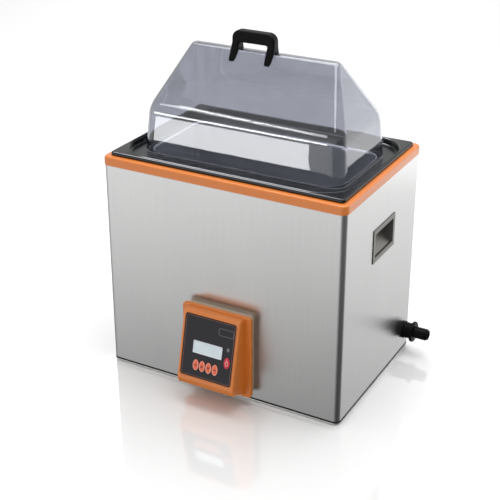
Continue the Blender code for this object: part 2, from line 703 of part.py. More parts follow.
# Power electronics on the base tray
TRAY_TOP = TRAY_FLOOR + 0.0015 + GAP
power_board = add_object("power_board", box_mesh("power_board", (0.13, 0.09, 0.0016), (0, -0.02, 0.0158)), BOARD)
for post_x in (-0.058, 0.058):
    for post_y in (-0.058, 0.018):
        join_on(power_board, cylinder_mesh("post", 0.003, (post_x, post_y, TRAY_TOP), (post_x, post_y, 0.0155), 10))
BOARD_TOP = 0.0166 + GAP
for name, size, place in (
    ("power_relay", (0.030, 0.022, 0.020), (-0.030, -0.030)),
    ("terminal_block", (0.050, 0.012, 0.013), (0.020, 0.012)),
):
    add_object(name, box_mesh(name, size, (*place, BOARD_TOP + size[2] / 2)), BLACK_PLASTIC)
core = box_mesh("transformer", (0.052, 0.044, 0.042), (-0.030, 0.080, TRAY_TOP + 0.021))
add_object("transformer", core, STEEL)

# Rear: mains inlet with fuse drawer, bonding stud and blank plate
inlet_flange = box_mesh("mains_inlet", (0.034, 0.0025, 0.056), (INLET_X, REAR + GAP + 0.00125, INLET_Z))
mains_inlet = add_object("mains_inlet", inlet_flange, BLACK_PLASTIC)
bevel(mains_inlet, 0.0006, 1)
join_on(mains_inlet, box_mesh("inlet_body", (0.0280, 0.032, 0.0490), (INLET_X, REAR - 0.0152, INLET_Z)))
SOCKET_Z = INLET_Z + 0.009
cut_away(mains_inlet, box_mesh("inlet_socket", (0.0225, 0.022, 0.0165), (INLET_X, REAR - 0.007, SOCKET_Z)))
for pin_x, pin_z in ((-0.007, -0.002), (0.007, -0.002), (0.0, 0.002)):
    pin = box_mesh("inlet_pin", (0.002, 0.018, 0.004), (INLET_X + pin_x, REAR - 0.0110, SOCKET_Z + pin_z))
    join_on(mains_inlet, pin)
FUSE_Z = INLET_Z - 0.0135
cut_away(mains_inlet, box_mesh("fuse_slot", (0.0206, 0.030, 0.0106), (INLET_X, REAR - 0.011, FUSE_Z)))
fuse_drawer = add_object(
    "fuse_drawer", box_mesh("fuse_drawer", (0.0200, 0.025, 0.0100), (INLET_X, REAR - 0.0085, FUSE_Z)), BLACK_PLASTIC)
face_y = REAR + GAP + 0.0025 + GAP + 0.001
join_on(fuse_drawer, box_mesh("fuse_face", (0.0235, 0.002, 0.0125), (INLET_X, face_y, FUSE_Z)))

stud = cylinder_mesh("bonding_stud", 0.0030, (-0.120, REAR - 0.010, 0.055), (-0.120, REAR + 0.012, 0.055), 16)
bonding_stud = add_object("bonding_stud", stud, BRASS)
stud_washer = cylinder_mesh("stud_washer", 0.0065, (-0.120, REAR + GAP, 0.055), (-0.120, REAR + 0.002, 0.055), 20)
join_on(bonding_stud, stud_washer)
plate = box_mesh("blank_plate", (0.070, 0.0006, 0.040), (0.088, REAR + GAP + 0.0003, 0.150))
add_object("blank_plate", plate, STEEL)
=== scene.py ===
"""Laboratory water bath: brushed steel housing, orange trim, clear hipped lid, key panel and side drain.

Metres, +Z up, front towards -Y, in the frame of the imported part.
"""

import math

import bmesh
import bpy
from mathutils import Matrix, Vector


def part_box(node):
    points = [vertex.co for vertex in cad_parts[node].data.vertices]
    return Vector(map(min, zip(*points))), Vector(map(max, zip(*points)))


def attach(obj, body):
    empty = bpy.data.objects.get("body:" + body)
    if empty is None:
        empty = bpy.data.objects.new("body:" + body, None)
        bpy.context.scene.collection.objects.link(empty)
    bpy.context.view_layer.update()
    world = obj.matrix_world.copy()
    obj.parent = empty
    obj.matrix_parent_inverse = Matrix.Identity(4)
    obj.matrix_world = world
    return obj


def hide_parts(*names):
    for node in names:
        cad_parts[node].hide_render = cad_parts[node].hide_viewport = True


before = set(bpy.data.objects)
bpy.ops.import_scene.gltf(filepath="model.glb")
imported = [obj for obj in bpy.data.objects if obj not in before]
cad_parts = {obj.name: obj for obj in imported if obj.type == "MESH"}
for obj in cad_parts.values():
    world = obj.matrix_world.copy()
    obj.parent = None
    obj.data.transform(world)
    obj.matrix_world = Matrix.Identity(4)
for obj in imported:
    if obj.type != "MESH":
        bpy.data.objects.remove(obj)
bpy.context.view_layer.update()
scene = bpy.context.scene


# Camera: a long lens on a tripod at the front right corner, above the lid and looking down
# at the housing, dropped a little in its mount so that the bath stands in the middle.
camera_data = bpy.data.cameras.new("camera")
camera_data.lens = 81.39
camera_data.sensor_width = 36
camera_data.shift_y = -0.06
camera = bpy.data.objects.new("camera", camera_data)
camera.location = (1.0003, -1.9055, 1.3161)
camera.rotation_euler = (math.radians(65.62), 0, math.radians(28.73))
scene.collection.objects.link(camera)
scene.camera = camera
scene.view_settings.view_transform = "Standard"


# Housing wrap: one sheet of 1 mm stainless steel, brushed up and down, bent round all four
# corners and joined at the back. Openings for the grips, drain, inlet and vents are laser cut.
WRAP_LOW, WRAP_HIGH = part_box("housing_wrap")
MIDDLE = (WRAP_LOW + WRAP_HIGH) / 2
WRAP_HALF = (WRAP_HIGH - WRAP_LOW) / 2
WRAP_BEND = 0.013
SHEET = 0.001
GAP = 0.0003
BEND_STEPS = 10
EDGE_ROUND = 0.0002
GRAIN_WIDTH = 0.0016
GRAIN_LENGTH = 0.16


def linear(colour):
    """Linear RGBA of an sRGB hex colour."""
    channels = [int(colour[at:at + 2], 16) / 255 for at in (1, 3, 5)]
    return (*(c / 12.92 if c <= 0.04045 else ((c + 0.055) / 1.055) ** 2.4 for c in channels), 1.0)


def add_node(tree, kind, settings, links=None):
    """Add a node; a setting is one of its inputs, by name or number, or else one of its properties."""
    node = tree.nodes.new(kind)
    for name, value in settings.items():
        if isinstance(name, int) or name in node.inputs:
            node.inputs[name].default_value = value
        else:
            setattr(node, name, value)
    for name, source in (links or {}).items():
        tree.links.new(source, node.inputs[name])
    return node


def start_finish(name, constants):
    """A new material and its Principled shader, with what is the same all over it."""
    made = bpy.data.materials.new(name)
    made.use_nodes = True
    shader = made.node_tree.nodes["Principled BSDF"]
    for label, value in constants.items():
        shader.inputs[label].default_value = value
    return made, shader


def pattern(tree, kind, spacing, settings=None, stretch=(1, 1, 1)):
    """A texture laid on the object in metres, its features so far apart, longer along a stretched axis."""
    spot = add_node(tree, "ShaderNodeTexCoord", {}).outputs["Object"]
    share = Vector(1 / long for long in stretch)
    scaled = add_node(tree, "ShaderNodeMapping", {"Scale": share}, {"Vector": spot}).outputs["Vector"]
    return add_node(tree, kind, {"Scale": 1 / spacing, **(settings or {})}, {"Vector": scaled}).outputs[0]


def vary(shader, value, tones, gloss, relief=0.0):
    """Let one pattern of 0 to 1 drive a shader's colour, its roughness and its relief in metres."""
    tree = shader.id_data
    tone = add_node(
        tree, "ShaderNodeMix", {"data_type": "RGBA", 6: linear(tones[0]), 7: linear(tones[1])}, {0: value})
    tree.links.new(tone.outputs[2], shader.inputs["Base Color"])
    rough = add_node(tree, "ShaderNodeMapRange", {"To Min": gloss[0], "To Max": gloss[1]}, {"Value": value})
    tree.links.new(rough.outputs[0], shader.inputs["Roughness"])
    if relief:
        bump = add_node(tree, "ShaderNodeBump", {"Strength": 1.0, "Distance": relief}, {"Height": value})
        tree.links.new(bump.outputs[0], shader.inputs["Normal"])


# Stainless steel, satin brushed: fine upright lines that spread reflections sideways. Real
# lines are 0.1 to 0.3 mm apart, drawn here 1.6 mm apart so that they show.
brushed_stainless, shader = start_finish(
    "stainless_steel_brushed", {"Metallic": 1.0, "Anisotropic": 0.45})
tree = shader.id_data
lines = pattern(tree, "ShaderNodeTexNoise", GRAIN_WIDTH, {"Detail": 3.0, "Roughness": 0.6},
                (1, 1, GRAIN_LENGTH / GRAIN_WIDTH))
clouds = pattern(tree, "ShaderNodeTexNoise", 0.12, {"Detail": 1.0}, (1, 1, 2))
grain = add_node(tree, "ShaderNodeMix", {0: 0.35}, {2: lines, 3: clouds}).outputs[0]
vary(shader, grain, ("#BEBEBE", "#D2D2D1"), (0.27, 0.34), 0.000004)


def loop(half_x, half_y, radius, z, steps=8, centre=MIDDLE):
    """Anticlockwise points of a rounded rectangle at one height."""
    points = []
    for quarter, (side_x, side_y) in enumerate(((1, 1), (-1, 1), (-1, -1), (1, -1))):
        for step in range(steps + 1):
            turn = math.radians(90 * (quarter + step / steps))
            points.append((
                centre[0] + side_x * (half_x - radius) + radius * math.cos(turn),
                centre[1] + side_y * (half_y - radius) + radius * math.sin(turn),
                z,
            ))
    return points


def skin(name, loops, ends=(True, True), closed=False):
    """A mesh through loops of equal counts, with faces over its ends or closed on itself."""
    bm = bmesh.new()
    rings = [[bm.verts.new(point) for point in points] for points in loops]
    pairs = list(zip(rings, rings[1:]))
    if closed:
        pairs.append((rings[-1], rings[0]))
    for lower, upper in pairs:
        for at in range(len(lower)):
            after = (at + 1) % len(lower)
            bm.faces.new((lower[at], lower[after], upper[after], upper[at]))
    if ends[0] and not closed:
        bm.faces.new(rings[0][::-1])
    if ends[1] and not closed:
        bm.faces.new(rings[-1])
    if closed or all(ends):
        bmesh.ops.recalc_face_normals(bm, faces=bm.faces)
    mesh = bpy.data.meshes.new(name)
    bm.to_mesh(mesh)
    bm.free()
    return mesh


def place(name, mesh, where=None):
    """An object for a mesh, set in a frame."""
    made = bpy.data.objects.new(name, mesh)
    scene.collection.objects.link(made)
    if where is not None:
        made.matrix_world = where
    return made


def block(name, size, centre=(0, 0, 0)):
    """A rectangular mesh."""
    bm = bmesh.new()
    bmesh.ops.create_cube(bm, size=1.0)
    bmesh.ops.scale(bm, vec=size, verts=bm.verts)
    bmesh.ops.translate(bm, vec=centre, verts=bm.verts)
    mesh = bpy.data.meshes.new(name)
    bm.to_mesh(mesh)
    bm.free()
    return mesh


def boolean(piece, mesh, operation="DIFFERENCE", where=None):
    """Cut a mesh out of a piece, or join it on."""
    tool = place(piece.name + "_tool", mesh, where)
    step = piece.modifiers.new(operation, "BOOLEAN")
    step.operation = operation
    step.solver = "EXACT"
    step.object = tool
    settle(piece)
    bpy.data.objects.remove(tool)


def settle(piece):
    """Make the modifiers' result the piece's own mesh, laid in the frame of the part."""
    bpy.context.view_layer.update()
    ready = piece.evaluated_get(bpy.context.evaluated_depsgraph_get())
    mesh = bpy.data.meshes.new_from_object(ready)
    mesh.transform(piece.matrix_world)
    piece.modifiers.clear()
    piece.data = mesh
    piece.matrix_world = Matrix.Identity(4)


def bevel(piece, width, segments=3, angle=30):
    """Round the edges that are sharper than an angle."""
    edge = piece.modifiers.new("Bevel", "BEVEL")
    edge.width = width
    edge.segments = segments
    edge.limit_method = "ANGLE"
    edge.angle_limit = math.radians(angle)
    settle(piece)


def fit(piece, finish, body, slot, *nodes, sharp=35):
    """Finish a piece, let it ride on a body and stand it in for its CAD nodes."""
    settle(piece)
    piece.data.shade_smooth()
    piece.data.set_sharp_from_angle(angle=math.radians(sharp))
    flat = piece.modifiers.new("Flat faces stay flat", "WEIGHTED_NORMAL")
    flat.keep_sharp = True
    piece.data.materials.clear()
    piece.data.materials.append(finish)
    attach(piece, body)
    if nodes:
        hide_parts(*nodes)
    return piece


wrap_section = [
    (EDGE_ROUND, WRAP_LOW.z), (0.0, WRAP_LOW.z + EDGE_ROUND), (0.0, WRAP_HIGH.z - EDGE_ROUND),
    (EDGE_ROUND, WRAP_HIGH.z), (SHEET, WRAP_HIGH.z), (SHEET, WRAP_LOW.z),
]
wrap = place("housing_sheet", skin("housing_sheet", [
    loop(WRAP_HALF.x - inset, WRAP_HALF.y - inset, WRAP_BEND - inset, z, BEND_STEPS)
    for inset, z in wrap_section
], closed=True))

GRIP_LOW, GRIP_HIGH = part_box("grip_pocket_right")
GRIP_MIDDLE = (GRIP_LOW + GRIP_HIGH) / 2
GRIP_OPENING = (1.0, 0.0955, 0.0555)
boolean(wrap, block("grip_openings", GRIP_OPENING, (0, GRIP_MIDDLE.y, GRIP_MIDDLE.z)))

INLET_LOW, INLET_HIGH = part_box("mains_inlet")
INLET_MIDDLE = (INLET_LOW + INLET_HIGH) / 2
INLET_OPENING = (0.029, 0.02, 0.05)
boolean(wrap, block("inlet_opening", INLET_OPENING, (INLET_MIDDLE.x, WRAP_HIGH.y, INLET_MIDDLE.z)))

VENT_X = 0.040
VENT_PITCH = 0.012
VENT_Z = 0.080
VENT_HALF = (0.0020, 0.0225)
VENT_COUNT = 9
CUT_REACH = 0.01


def gather(name, solids):
    """One mesh of several solids that don't touch, each given with its frame."""
    bm = bmesh.new()
    for solid, where in solids:
        solid.transform(where)
        bm.from_mesh(solid)
    mesh = bpy.data.meshes.new(name)
    bm.to_mesh(mesh)
    bm.free()
    return mesh


def rod(name, radius, length, steps=32):
    """A cylinder about Z, centred."""
    turns = [math.tau * step / steps for step in range(steps)]
    return skin(name, [
        [(radius * math.cos(turn), radius * math.sin(turn), z) for turn in turns]
        for z in (-length / 2, length / 2)
    ])


facing_back = Matrix.Rotation(math.radians(90), 4, "X")
facing_side = Matrix.Rotation(math.radians(90), 4, "Y")
boolean(wrap, gather("vents", [
    (skin("vent", [loop(*VENT_HALF, VENT_HALF[0], z, 8, (0, 0)) for z in (-CUT_REACH, CUT_REACH)]),
     Matrix.Translation((MIDDLE.x + VENT_X + VENT_PITCH * number, WRAP_HIGH.y, VENT_Z)) @ facing_back)
    for number in range(VENT_COUNT)
]))

DRAIN_LOW, DRAIN_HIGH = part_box("drain_collar")
DRAIN_MIDDLE = (DRAIN_LOW + DRAIN_HIGH) / 2
DRAIN_SPOT = Vector((WRAP_HIGH.x, DRAIN_MIDDLE.y, DRAIN_MIDDLE.z))
DRAIN_HOLE = 0.0125
drain_axis = Matrix.Translation(DRAIN_SPOT) @ facing_side
boolean(wrap, rod("drain_hole", DRAIN_HOLE, 2 * CUT_REACH), where=drain_axis)
fit(wrap, brushed_stainless, "bath", "brushed_stainless", "housing_wrap")


# Base tray: folded zinc-plated sheet that closes the bottom. Its turned-up edge shows as a
# bright strip under the wrap.
TRAY_LOW, TRAY_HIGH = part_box("base_tray")
tray_half = (TRAY_HIGH - TRAY_LOW) / 2

# Mild steel, zinc plated: pale and dull, with the plating's crystals about 6 mm across.
zinc_steel, shader = start_finish("mild_steel_zinc_plated", {"Metallic": 1.0})
spangle = pattern(shader.id_data, "ShaderNodeTexVoronoi", 0.006, {"Randomness": 1.0})
vary(shader, spangle, ("#DFE0DD", "#EFF0ED"), (0.50, 0.62))
tray_section = [
    (0.0112, TRAY_LOW.z), (0.0006, TRAY_LOW.z), (0.0, TRAY_LOW.z + 0.0006), (0.0, TRAY_LOW.z + 0.0020),
    (0.0004, TRAY_LOW.z + 0.0024), (0.0100, TRAY_LOW.z + 0.0024), (0.0100, TRAY_HIGH.z),
    (0.0112, TRAY_HIGH.z),
]
tray = place("base_tray_strip", skin("base_tray_strip", [
    loop(tray_half.x - inset, tray_half.y - inset, WRAP_BEND - GAP - inset, z, BEND_STEPS)
    for inset, z in tray_section
], closed=True))
fit(tray, zinc_steel, "bath", "zinc_steel", "base_tray")


# Feet: black rubber discs, each with a stem pushed through the tray, moulded with a soft
# lower edge.

# Nitrile rubber, moulded: a black that hardly shines, with a fine pitted skin.
black_rubber, shader = start_finish("nitrile_rubber_moulded", {"Specular IOR Level": 0.4})
vary(shader, pattern(shader.id_data, "ShaderNodeTexNoise", 0.0012, {"Detail": 2.0}),
     ("#141414", "#1E1E1D"), (0.72, 0.90), 0.00003)


def turned(name, profile, spot, axis=(0, 0, 1), steps=32):
    """A piece turned from (radius, distance) points about an axis through a spot."""
    aim = Vector((0, 0, 1)).rotation_difference(Vector(axis)).to_matrix().to_4x4()
    where = Matrix.Translation(spot) @ aim
    bm = bmesh.new()
    rings = []
    for radius, along in profile:
        if radius == 0:
            rings.append([bm.verts.new(where @ Vector((0, 0, along)))])
            continue
        turns = [math.tau * step / steps for step in range(steps)]
        rings.append([
            bm.verts.new(where @ Vector((radius * math.cos(turn), radius * math.sin(turn), along)))
            for turn in turns
        ])
    pairs = list(zip(rings, rings[1:]))
    if len(rings[0]) > 1 and len(rings[-1]) > 1:
        pairs.append((rings[-1], rings[0]))
    for first, second in pairs:
        for at in range(steps):
            after = (at + 1) % steps
            corners = [first[at % len(first)], first[after % len(first)]]
            corners += [second[after % len(second)], second[at % len(second)]]
            bm.faces.new(list(dict.fromkeys(corners)))
    bmesh.ops.recalc_face_normals(bm, faces=bm.faces)
    mesh = bpy.data.meshes.new(name)
    bm.to_mesh(mesh)
    bm.free()
    return place(name, mesh)


foot_profile = [
    (0, 0), (0.0142, 0), (0.0150, 0.0003), (0.0155, 0.0012), (0.0154, 0.0020), (0.0148, 0.0026),
    (0.0140, 0.0027), (0.0038, 0.0027), (0.0038, 0.0048), (0.0070, 0.0048), (0.0068, 0.0060),
    (0.0055, 0.0072), (0, 0.0078),
]
for name in ("foot_front_left", "foot_front_right", "foot_rear_left", "foot_rear_right"):
    low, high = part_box(name)
    foot = turned(name + "_rubber", foot_profile, ((low.x + high.x) / 2, (low.y + high.y) / 2, 0))
    fit(foot, black_rubber, "bath", "black_rubber", name)


# Base shade strip: black strip along the wrap's lower edge, painted shade set where the gap
# between wrap and tray is only in shadow, seen as a dark line above the bright edge of the tray.
shade_strip_section = [
    (0.0030, -0.0028), (0.0, -0.0028), (-0.0004, -0.0024), (-0.0004, 0.0012), (-0.0002, 0.0015),
    (0.0004, 0.0015), (0.0004, -0.0004), (0.0014, -0.0004), (0.0014, 0.0015), (0.0030, 0.0015),
]
shade_strip = place("base_shade_strip", skin("base_shade_strip", [
    loop(WRAP_HALF.x - inset, WRAP_HALF.y - inset, WRAP_BEND - inset, WRAP_LOW.z + rise, BEND_STEPS)
    for inset, rise in shade_strip_section
], closed=True))
fit(shade_strip, black_rubber, "bath", "black_rubber")


# Trim ring: injection-moulded orange ABS frame that caps the sheet's top edge and carries
# the tank's rim. Semi-gloss, with softly rounded edges.
RING_LOW, RING_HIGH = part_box("trim_ring")
ring_half = (RING_HIGH - RING_LOW) / 2
ring_foot = WRAP_HIGH.z + GAP
RING_CORNER = 0.0145
RING_INNER_CORNER = 0.004

# ABS, moulded in orange: a soft sheen under a thin gloss, with the fine texture of the mould.
orange_abs, shader = start_finish(
    "abs_orange_moulded", {"IOR": 1.54, "Coat Weight": 0.35, "Coat Roughness": 0.2})
vary(shader, pattern(shader.id_data, "ShaderNodeTexNoise", 0.0025, {"Detail": 3.0}),
     ("#CC6E1E", "#D47826"), (0.34, 0.42), 0.00001)
ring_section = [
    (0.0004, ring_foot), (0.0, ring_foot + 0.0004), (0.0, 0.4770), (0.0003, 0.4790), (0.0012, 0.4806),
    (0.0024, 0.4816), (0.0040, RING_HIGH.z), (0.0130, RING_HIGH.z), (0.0146, 0.4815), (0.0150, 0.4800),
    (0.0150, 0.4780), (0.0050, 0.4780), (0.0050, RING_LOW.z), (0.0032, RING_LOW.z), (0.0032, ring_foot),
]
ring = place("trim_frame", skin("trim_frame", [
    loop(ring_half.x - inset, ring_half.y - inset, max(RING_CORNER - inset, RING_INNER_CORNER), z, BEND_STEPS)
    for inset, z in ring_section
], closed=True))
fit(ring, orange_abs, "bath", "orange_moulding", "trim_ring")


# Bath tank: deep-drawn stainless steel, pressed in one piece. A flat flange with a rolled outer
# edge stands on the trim ring, and steps down to a ledge that carries the lid.
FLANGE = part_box("bath_tank")[1].z
LEDGE = 0.4775
WELL_FLOOR = 0.2000
RIM_STEPS = 14

# Stainless steel, deep drawn: a bright skin softened by flow marks about 30 mm across. A thin
# film of scale from the water catches light from any side, so it is not fully metallic.
drawn_stainless, shader = start_finish("stainless_steel_deep_drawn", {"Metallic": 0.7})
flow = pattern(shader.id_data, "ShaderNodeTexNoise", 0.03, {"Detail": 3.0, "Roughness": 0.55})
vary(shader, flow, ("#C6C7C9", "#D0D1D3"), (0.18, 0.28), 0.00004)

# Stainless steel of the flange and ledge, coloured dark grey as a painted dark reflection while
# the well of the same pressing is bright. A mirror that shows the lamps as thin lines along its
# rolled edges.
painted_dark_reflection, shader = start_finish("stainless_steel_painted_dark_reflection", {"Metallic": 1.0})
haze = pattern(shader.id_data, "ShaderNodeTexNoise", 0.02, {"Detail": 3.0})
vary(shader, haze, ("#363738", "#404143"), (0.16, 0.24), 0.00002)

# Half width, half depth, corner radius and height down the pressing, from its rolled edge to
# the inside of the ledge, and from there to the floor of the well.
rim_stations = [
    (0.2625, 0.1770, 0.0080, RING_HIGH.z + GAP), (0.2627, 0.1772, 0.0082, 0.4840),
    (0.2625, 0.1770, 0.0080, 0.4865), (0.2621, 0.1766, 0.0078, 0.4877), (0.2614, 0.1759, 0.0074, 0.4886),
    (0.2606, 0.1751, 0.0068, 0.4892), (0.2594, 0.1739, 0.0060, FLANGE), (0.2585, 0.1728, 0.0250, FLANGE),
    (0.2580, 0.1718, 0.0754, FLANGE), (0.2574, 0.1711, 0.0750, FLANGE + 0.0006),
    (0.2566, 0.1702, 0.0745, FLANGE + 0.0009), (0.2558, 0.1694, 0.0739, FLANGE + 0.0007),
    (0.2550, 0.1686, 0.0732, FLANGE - 0.0002), (0.2542, 0.1677, 0.0725, FLANGE - 0.0016),
    (0.2535, 0.1670, 0.0718, FLANGE - 0.0031), (0.2532, 0.1667, 0.0715, FLANGE - 0.0044),
    (0.2527, 0.1662, 0.0711, 0.4805), (0.2523, 0.1658, 0.0707, 0.4792), (0.2515, 0.1650, 0.0699, 0.4781),
    (0.2495, 0.1630, 0.0680, LEDGE), (0.2300, 0.1250, 0.0490, LEDGE), (0.2195, 0.1080, 0.0385, LEDGE),
]
well_stations = [
    rim_stations[-1], (0.2176, 0.1061, 0.0366, 0.4771), (0.2160, 0.1045, 0.0350, 0.4757),
    (0.2150, 0.1035, 0.0340, 0.4735), (0.2136, 0.1021, 0.0326, 0.3500),
    (0.2122, 0.1007, 0.0312, 0.2220), (0.2112, 0.0997, 0.0302, 0.2150), (0.2092, 0.0977, 0.0282, 0.2090),
    (0.2060, 0.0945, 0.0255, 0.2045), (0.2020, 0.0905, 0.0225, 0.2018), (0.1975, 0.0860, 0.0200, 0.2006),
    (0.1890, 0.0775, 0.0150, WELL_FLOOR),
]
# The rim's dark grey finish is a painted dark reflection; the well keeps the bright drawn steel.
for name, stations, floor, finish, nodes in (
        ("tank_rim", rim_stations, False, painted_dark_reflection, ()),
        ("tank_pressing", well_stations, True, drawn_stainless, ("bath_tank",)),
):
    tank = place(name, skin(name, [loop(*station, RIM_STEPS) for station in stations], (False, floor)))
    thick = tank.modifiers.new("Sheet", "SOLIDIFY")
    thick.thickness = SHEET
    thick.offset = -1.0
    settle(tank)
    fit(tank, finish, "bath", "dark_stainless", *nodes, sharp=50)


# Perforated shelf: punched stainless plate on four legs that keeps glassware off the tank
# floor. It lifts straight out of the well.
SHELF_LOW, SHELF_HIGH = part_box("well_shelf")
SHELF_HALF = (0.2020, 0.0905)
SHELF_CORNER = 0.038
SHELF_LEG_X = 0.180
SHELF_LEG_Y = 0.055
HOLE_RADIUS = 0.022
FIRST_HOLE = (-0.152, -0.042)
HOLE_PITCH = (0.076, 0.084)
shelf = place("shelf_plate", skin("shelf_plate", [
    loop(SHELF_HALF[0] - inset, SHELF_HALF[1] - inset, SHELF_CORNER - inset, SHELF_HIGH.z - drop, BEND_STEPS)
    for inset, drop in ((0.0002, 0.0012), (0, 0.0010), (0, 0.0002), (0.0002, 0))
]))
leg_profile = [(0, 0), (0.0036, 0), (0.0040, 0.0004), (0.0040, 0.0402), (0, 0.0402)]
for leg_x in (-SHELF_LEG_X, SHELF_LEG_X):
    for leg_y in (-SHELF_LEG_Y, SHELF_LEG_Y):
        leg = turned("leg", leg_profile, (MIDDLE.x + leg_x, MIDDLE.y + leg_y, SHELF_LOW.z), steps=20)
        leg_mesh = leg.data
        bpy.data.objects.remove(leg)
        boolean(shelf, leg_mesh, "UNION")
boolean(shelf, gather("shelf_holes", [
    (rod("shelf_hole", HOLE_RADIUS, CUT_REACH, 40), Matrix.Translation((
        MIDDLE.x + FIRST_HOLE[0] + HOLE_PITCH[0] * column,
        MIDDLE.y + FIRST_HOLE[1] + HOLE_PITCH[1] * row,
        SHELF_HIGH.z)))
    for column in range(5) for row in range(2)
]))
fit(shelf, brushed_stainless, "shelf", "brushed_stainless", "well_shelf")


# Lid: polycarbonate sheet 3 mm thick, thermoformed into a hipped dome. Corners are drawn
# round, and the sheet carries a faint ripple from the forming.
LID_LOW, LID_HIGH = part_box("lid_dome")
LID_SHEET = 0.003
LID_STEPS = 12
RIPPLE = 0.045

# Half width, half depth, corner radius and height at each crease.
LID_BASE = (0.2280, 0.1150, 0.0300)
LID_SHOULDER = (0.2210, 0.1080, 0.0300, 0.5700)
LID_RIDGE = (0.1650, 0.0095, 0.0095, LID_HIGH.z)
LID_CROWN = (0.1590, 0.0036, 0.0034, LID_HIGH.z)


def between(first, second, share):
    """A station part of the way from one to another."""
    return tuple(a + (b - a) * share for a, b in zip(first, second))


def curve_round(start, corner, end, count):
    """Stations that curve from start to end inside a corner."""
    return [
        between(between(start, corner, step / count), between(corner, end, step / count), step / count)
        for step in range(count + 1)
    ]


def lid_stations(grow=0.0):
    """Half width, half depth, corner radius and height of the dome's outside, from its foot up."""
    foot = (*LID_BASE, LID_LOW.z)
    base = (*LID_BASE, LID_LOW.z + 0.0057)
    outline = [foot, base]
    outline += curve_round(
        between(LID_SHOULDER, base, 0.16), LID_SHOULDER, between(LID_SHOULDER, LID_RIDGE, 0.13), 10)
    outline += [between(LID_SHOULDER, LID_RIDGE, 0.5)]
    outline += curve_round(between(LID_SHOULDER, LID_RIDGE, 0.95), LID_RIDGE, LID_CROWN, 6)
    return [(x + grow, y + grow, r + grow, z + grow) for x, y, r, z in outline]


# Polycarbonate, clear and thermoformed: a faint blue-grey body tint, sharp mirror-like
# reflections of the lamps, and a slow ripple 30 to 60 mm long. It throws hardly any shadow.
clear_polycarbonate, shader = start_finish("polycarbonate_clear_thermoformed", {
    "IOR": 1.585, "Transmission Weight": 1.0, "Specular IOR Level": 1.0})
tree = shader.id_data
ripple = pattern(tree, "ShaderNodeTexNoise", RIPPLE, {"Detail": 1.0, "Roughness": 0.4})
vary(shader, ripple, ("#BBBDC5", "#C3C5CD"), (0.004, 0.012), 0.00015)
path = add_node(tree, "ShaderNodeLightPath", {})
let_through = add_node(tree, "ShaderNodeBsdfTransparent", {"Color": linear("#E4E6EA")})
clear_or_lit = add_node(tree, "ShaderNodeMixShader", {}, {
    0: path.outputs["Is Shadow Ray"], 1: shader.outputs[0], 2: let_through.outputs[0]})
tree.links.new(clear_or_lit.outputs[0], tree.nodes["Material Output"].inputs["Surface"])

dome = place("lid_shell", skin(
    "lid_shell", [loop(*station, LID_STEPS) for station in lid_stations()], (False, True)))
thick = dome.modifiers.new("Sheet", "SOLIDIFY")
thick.thickness = LID_SHEET
thick.offset = -1.0
settle(dome)
fit(dome, clear_polycarbonate, "lid", "clear_polycarbonate", "lid_dome", sharp=50)


# Lid handle: black nylon bow moulded with saddle feet that sit astride the ridge, held by
# a screw up through the lid into each foot.
HANDLE_LOW, HANDLE_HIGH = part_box("lid_handle")
HANDLE_MIDDLE = (HANDLE_LOW + HANDLE_HIGH) / 2
handle_frame = Matrix.Translation((HANDLE_MIDDLE.x, HANDLE_MIDDLE.y, 0))
HALF_SPAN = 0.048
BOW_HALF_DEPTH = 0.011
BAR_HEIGHT = 0.0245
LEG_WIDTH = 0.016
LEG_SPLAY = 0.001
LEG_END = 0.6680
OUTER_BEND = 0.017
INNER_BEND = 0.005
SADDLE_HALF = 0.0081
SADDLE_CORNER = 0.0035
INNER_SPAN = HALF_SPAN - LEG_WIDTH
BAR_LOW = HANDLE_HIGH.z - BAR_HEIGHT

# Nylon, black, moulded: a deep black with a leathery grain that holds back the shine.
black_nylon, shader = start_finish("nylon_black_moulded", {"IOR": 1.53, "Specular IOR Level": 0.08})
vary(shader, pattern(shader.id_data, "ShaderNodeTexNoise", 0.0012, {"Detail": 2.0}),
     ("#060606", "#0B0B0B"), (0.36, 0.48), 0.00002)


def arc(centre, radius, start, end, count):
    """Points of an arc in a plane, angles in degrees."""
    turns = [math.radians(start + (end - start) * step / count) for step in range(count + 1)]
    return [(centre[0] + radius * math.cos(turn), centre[1] + radius * math.sin(turn)) for turn in turns]


def prism(name, profile, low, high, axis="Y"):
    """A closed outline run along Y, or along X when the outline is in Y and Z."""
    def point(u, v, along):
        return (u, along, v) if axis == "Y" else (along, u, v)

    return skin(name, [[point(u, v, along) for u, v in profile] for along in (low, high)])


bow_profile = [(HALF_SPAN + LEG_SPLAY, LEG_END)]
bow_profile += arc((HALF_SPAN - OUTER_BEND, HANDLE_HIGH.z - OUTER_BEND), OUTER_BEND, 0, 90, 12)
bow_profile += arc((OUTER_BEND - HALF_SPAN, HANDLE_HIGH.z - OUTER_BEND), OUTER_BEND, 90, 180, 12)
bow_profile += [(-HALF_SPAN - LEG_SPLAY, LEG_END), (-INNER_SPAN - LEG_SPLAY, LEG_END)]
bow_profile += arc((INNER_BEND - INNER_SPAN, BAR_LOW - INNER_BEND), INNER_BEND, 180, 90, 6)
bow_profile += arc((INNER_SPAN - INNER_BEND, BAR_LOW - INNER_BEND), INNER_BEND, 90, 0, 6)
bow_profile += [(INNER_SPAN + LEG_SPLAY, LEG_END)]
bow = place("handle_bow", prism("handle_bow", bow_profile, -BOW_HALF_DEPTH, BOW_HALF_DEPTH), handle_frame)
bevel(bow, 0.0045, 5, 50)
saddle_section = [(0.0235, 0.0050, LEG_END + 0.0005), (0.0098, 0.0, 0.7060)]
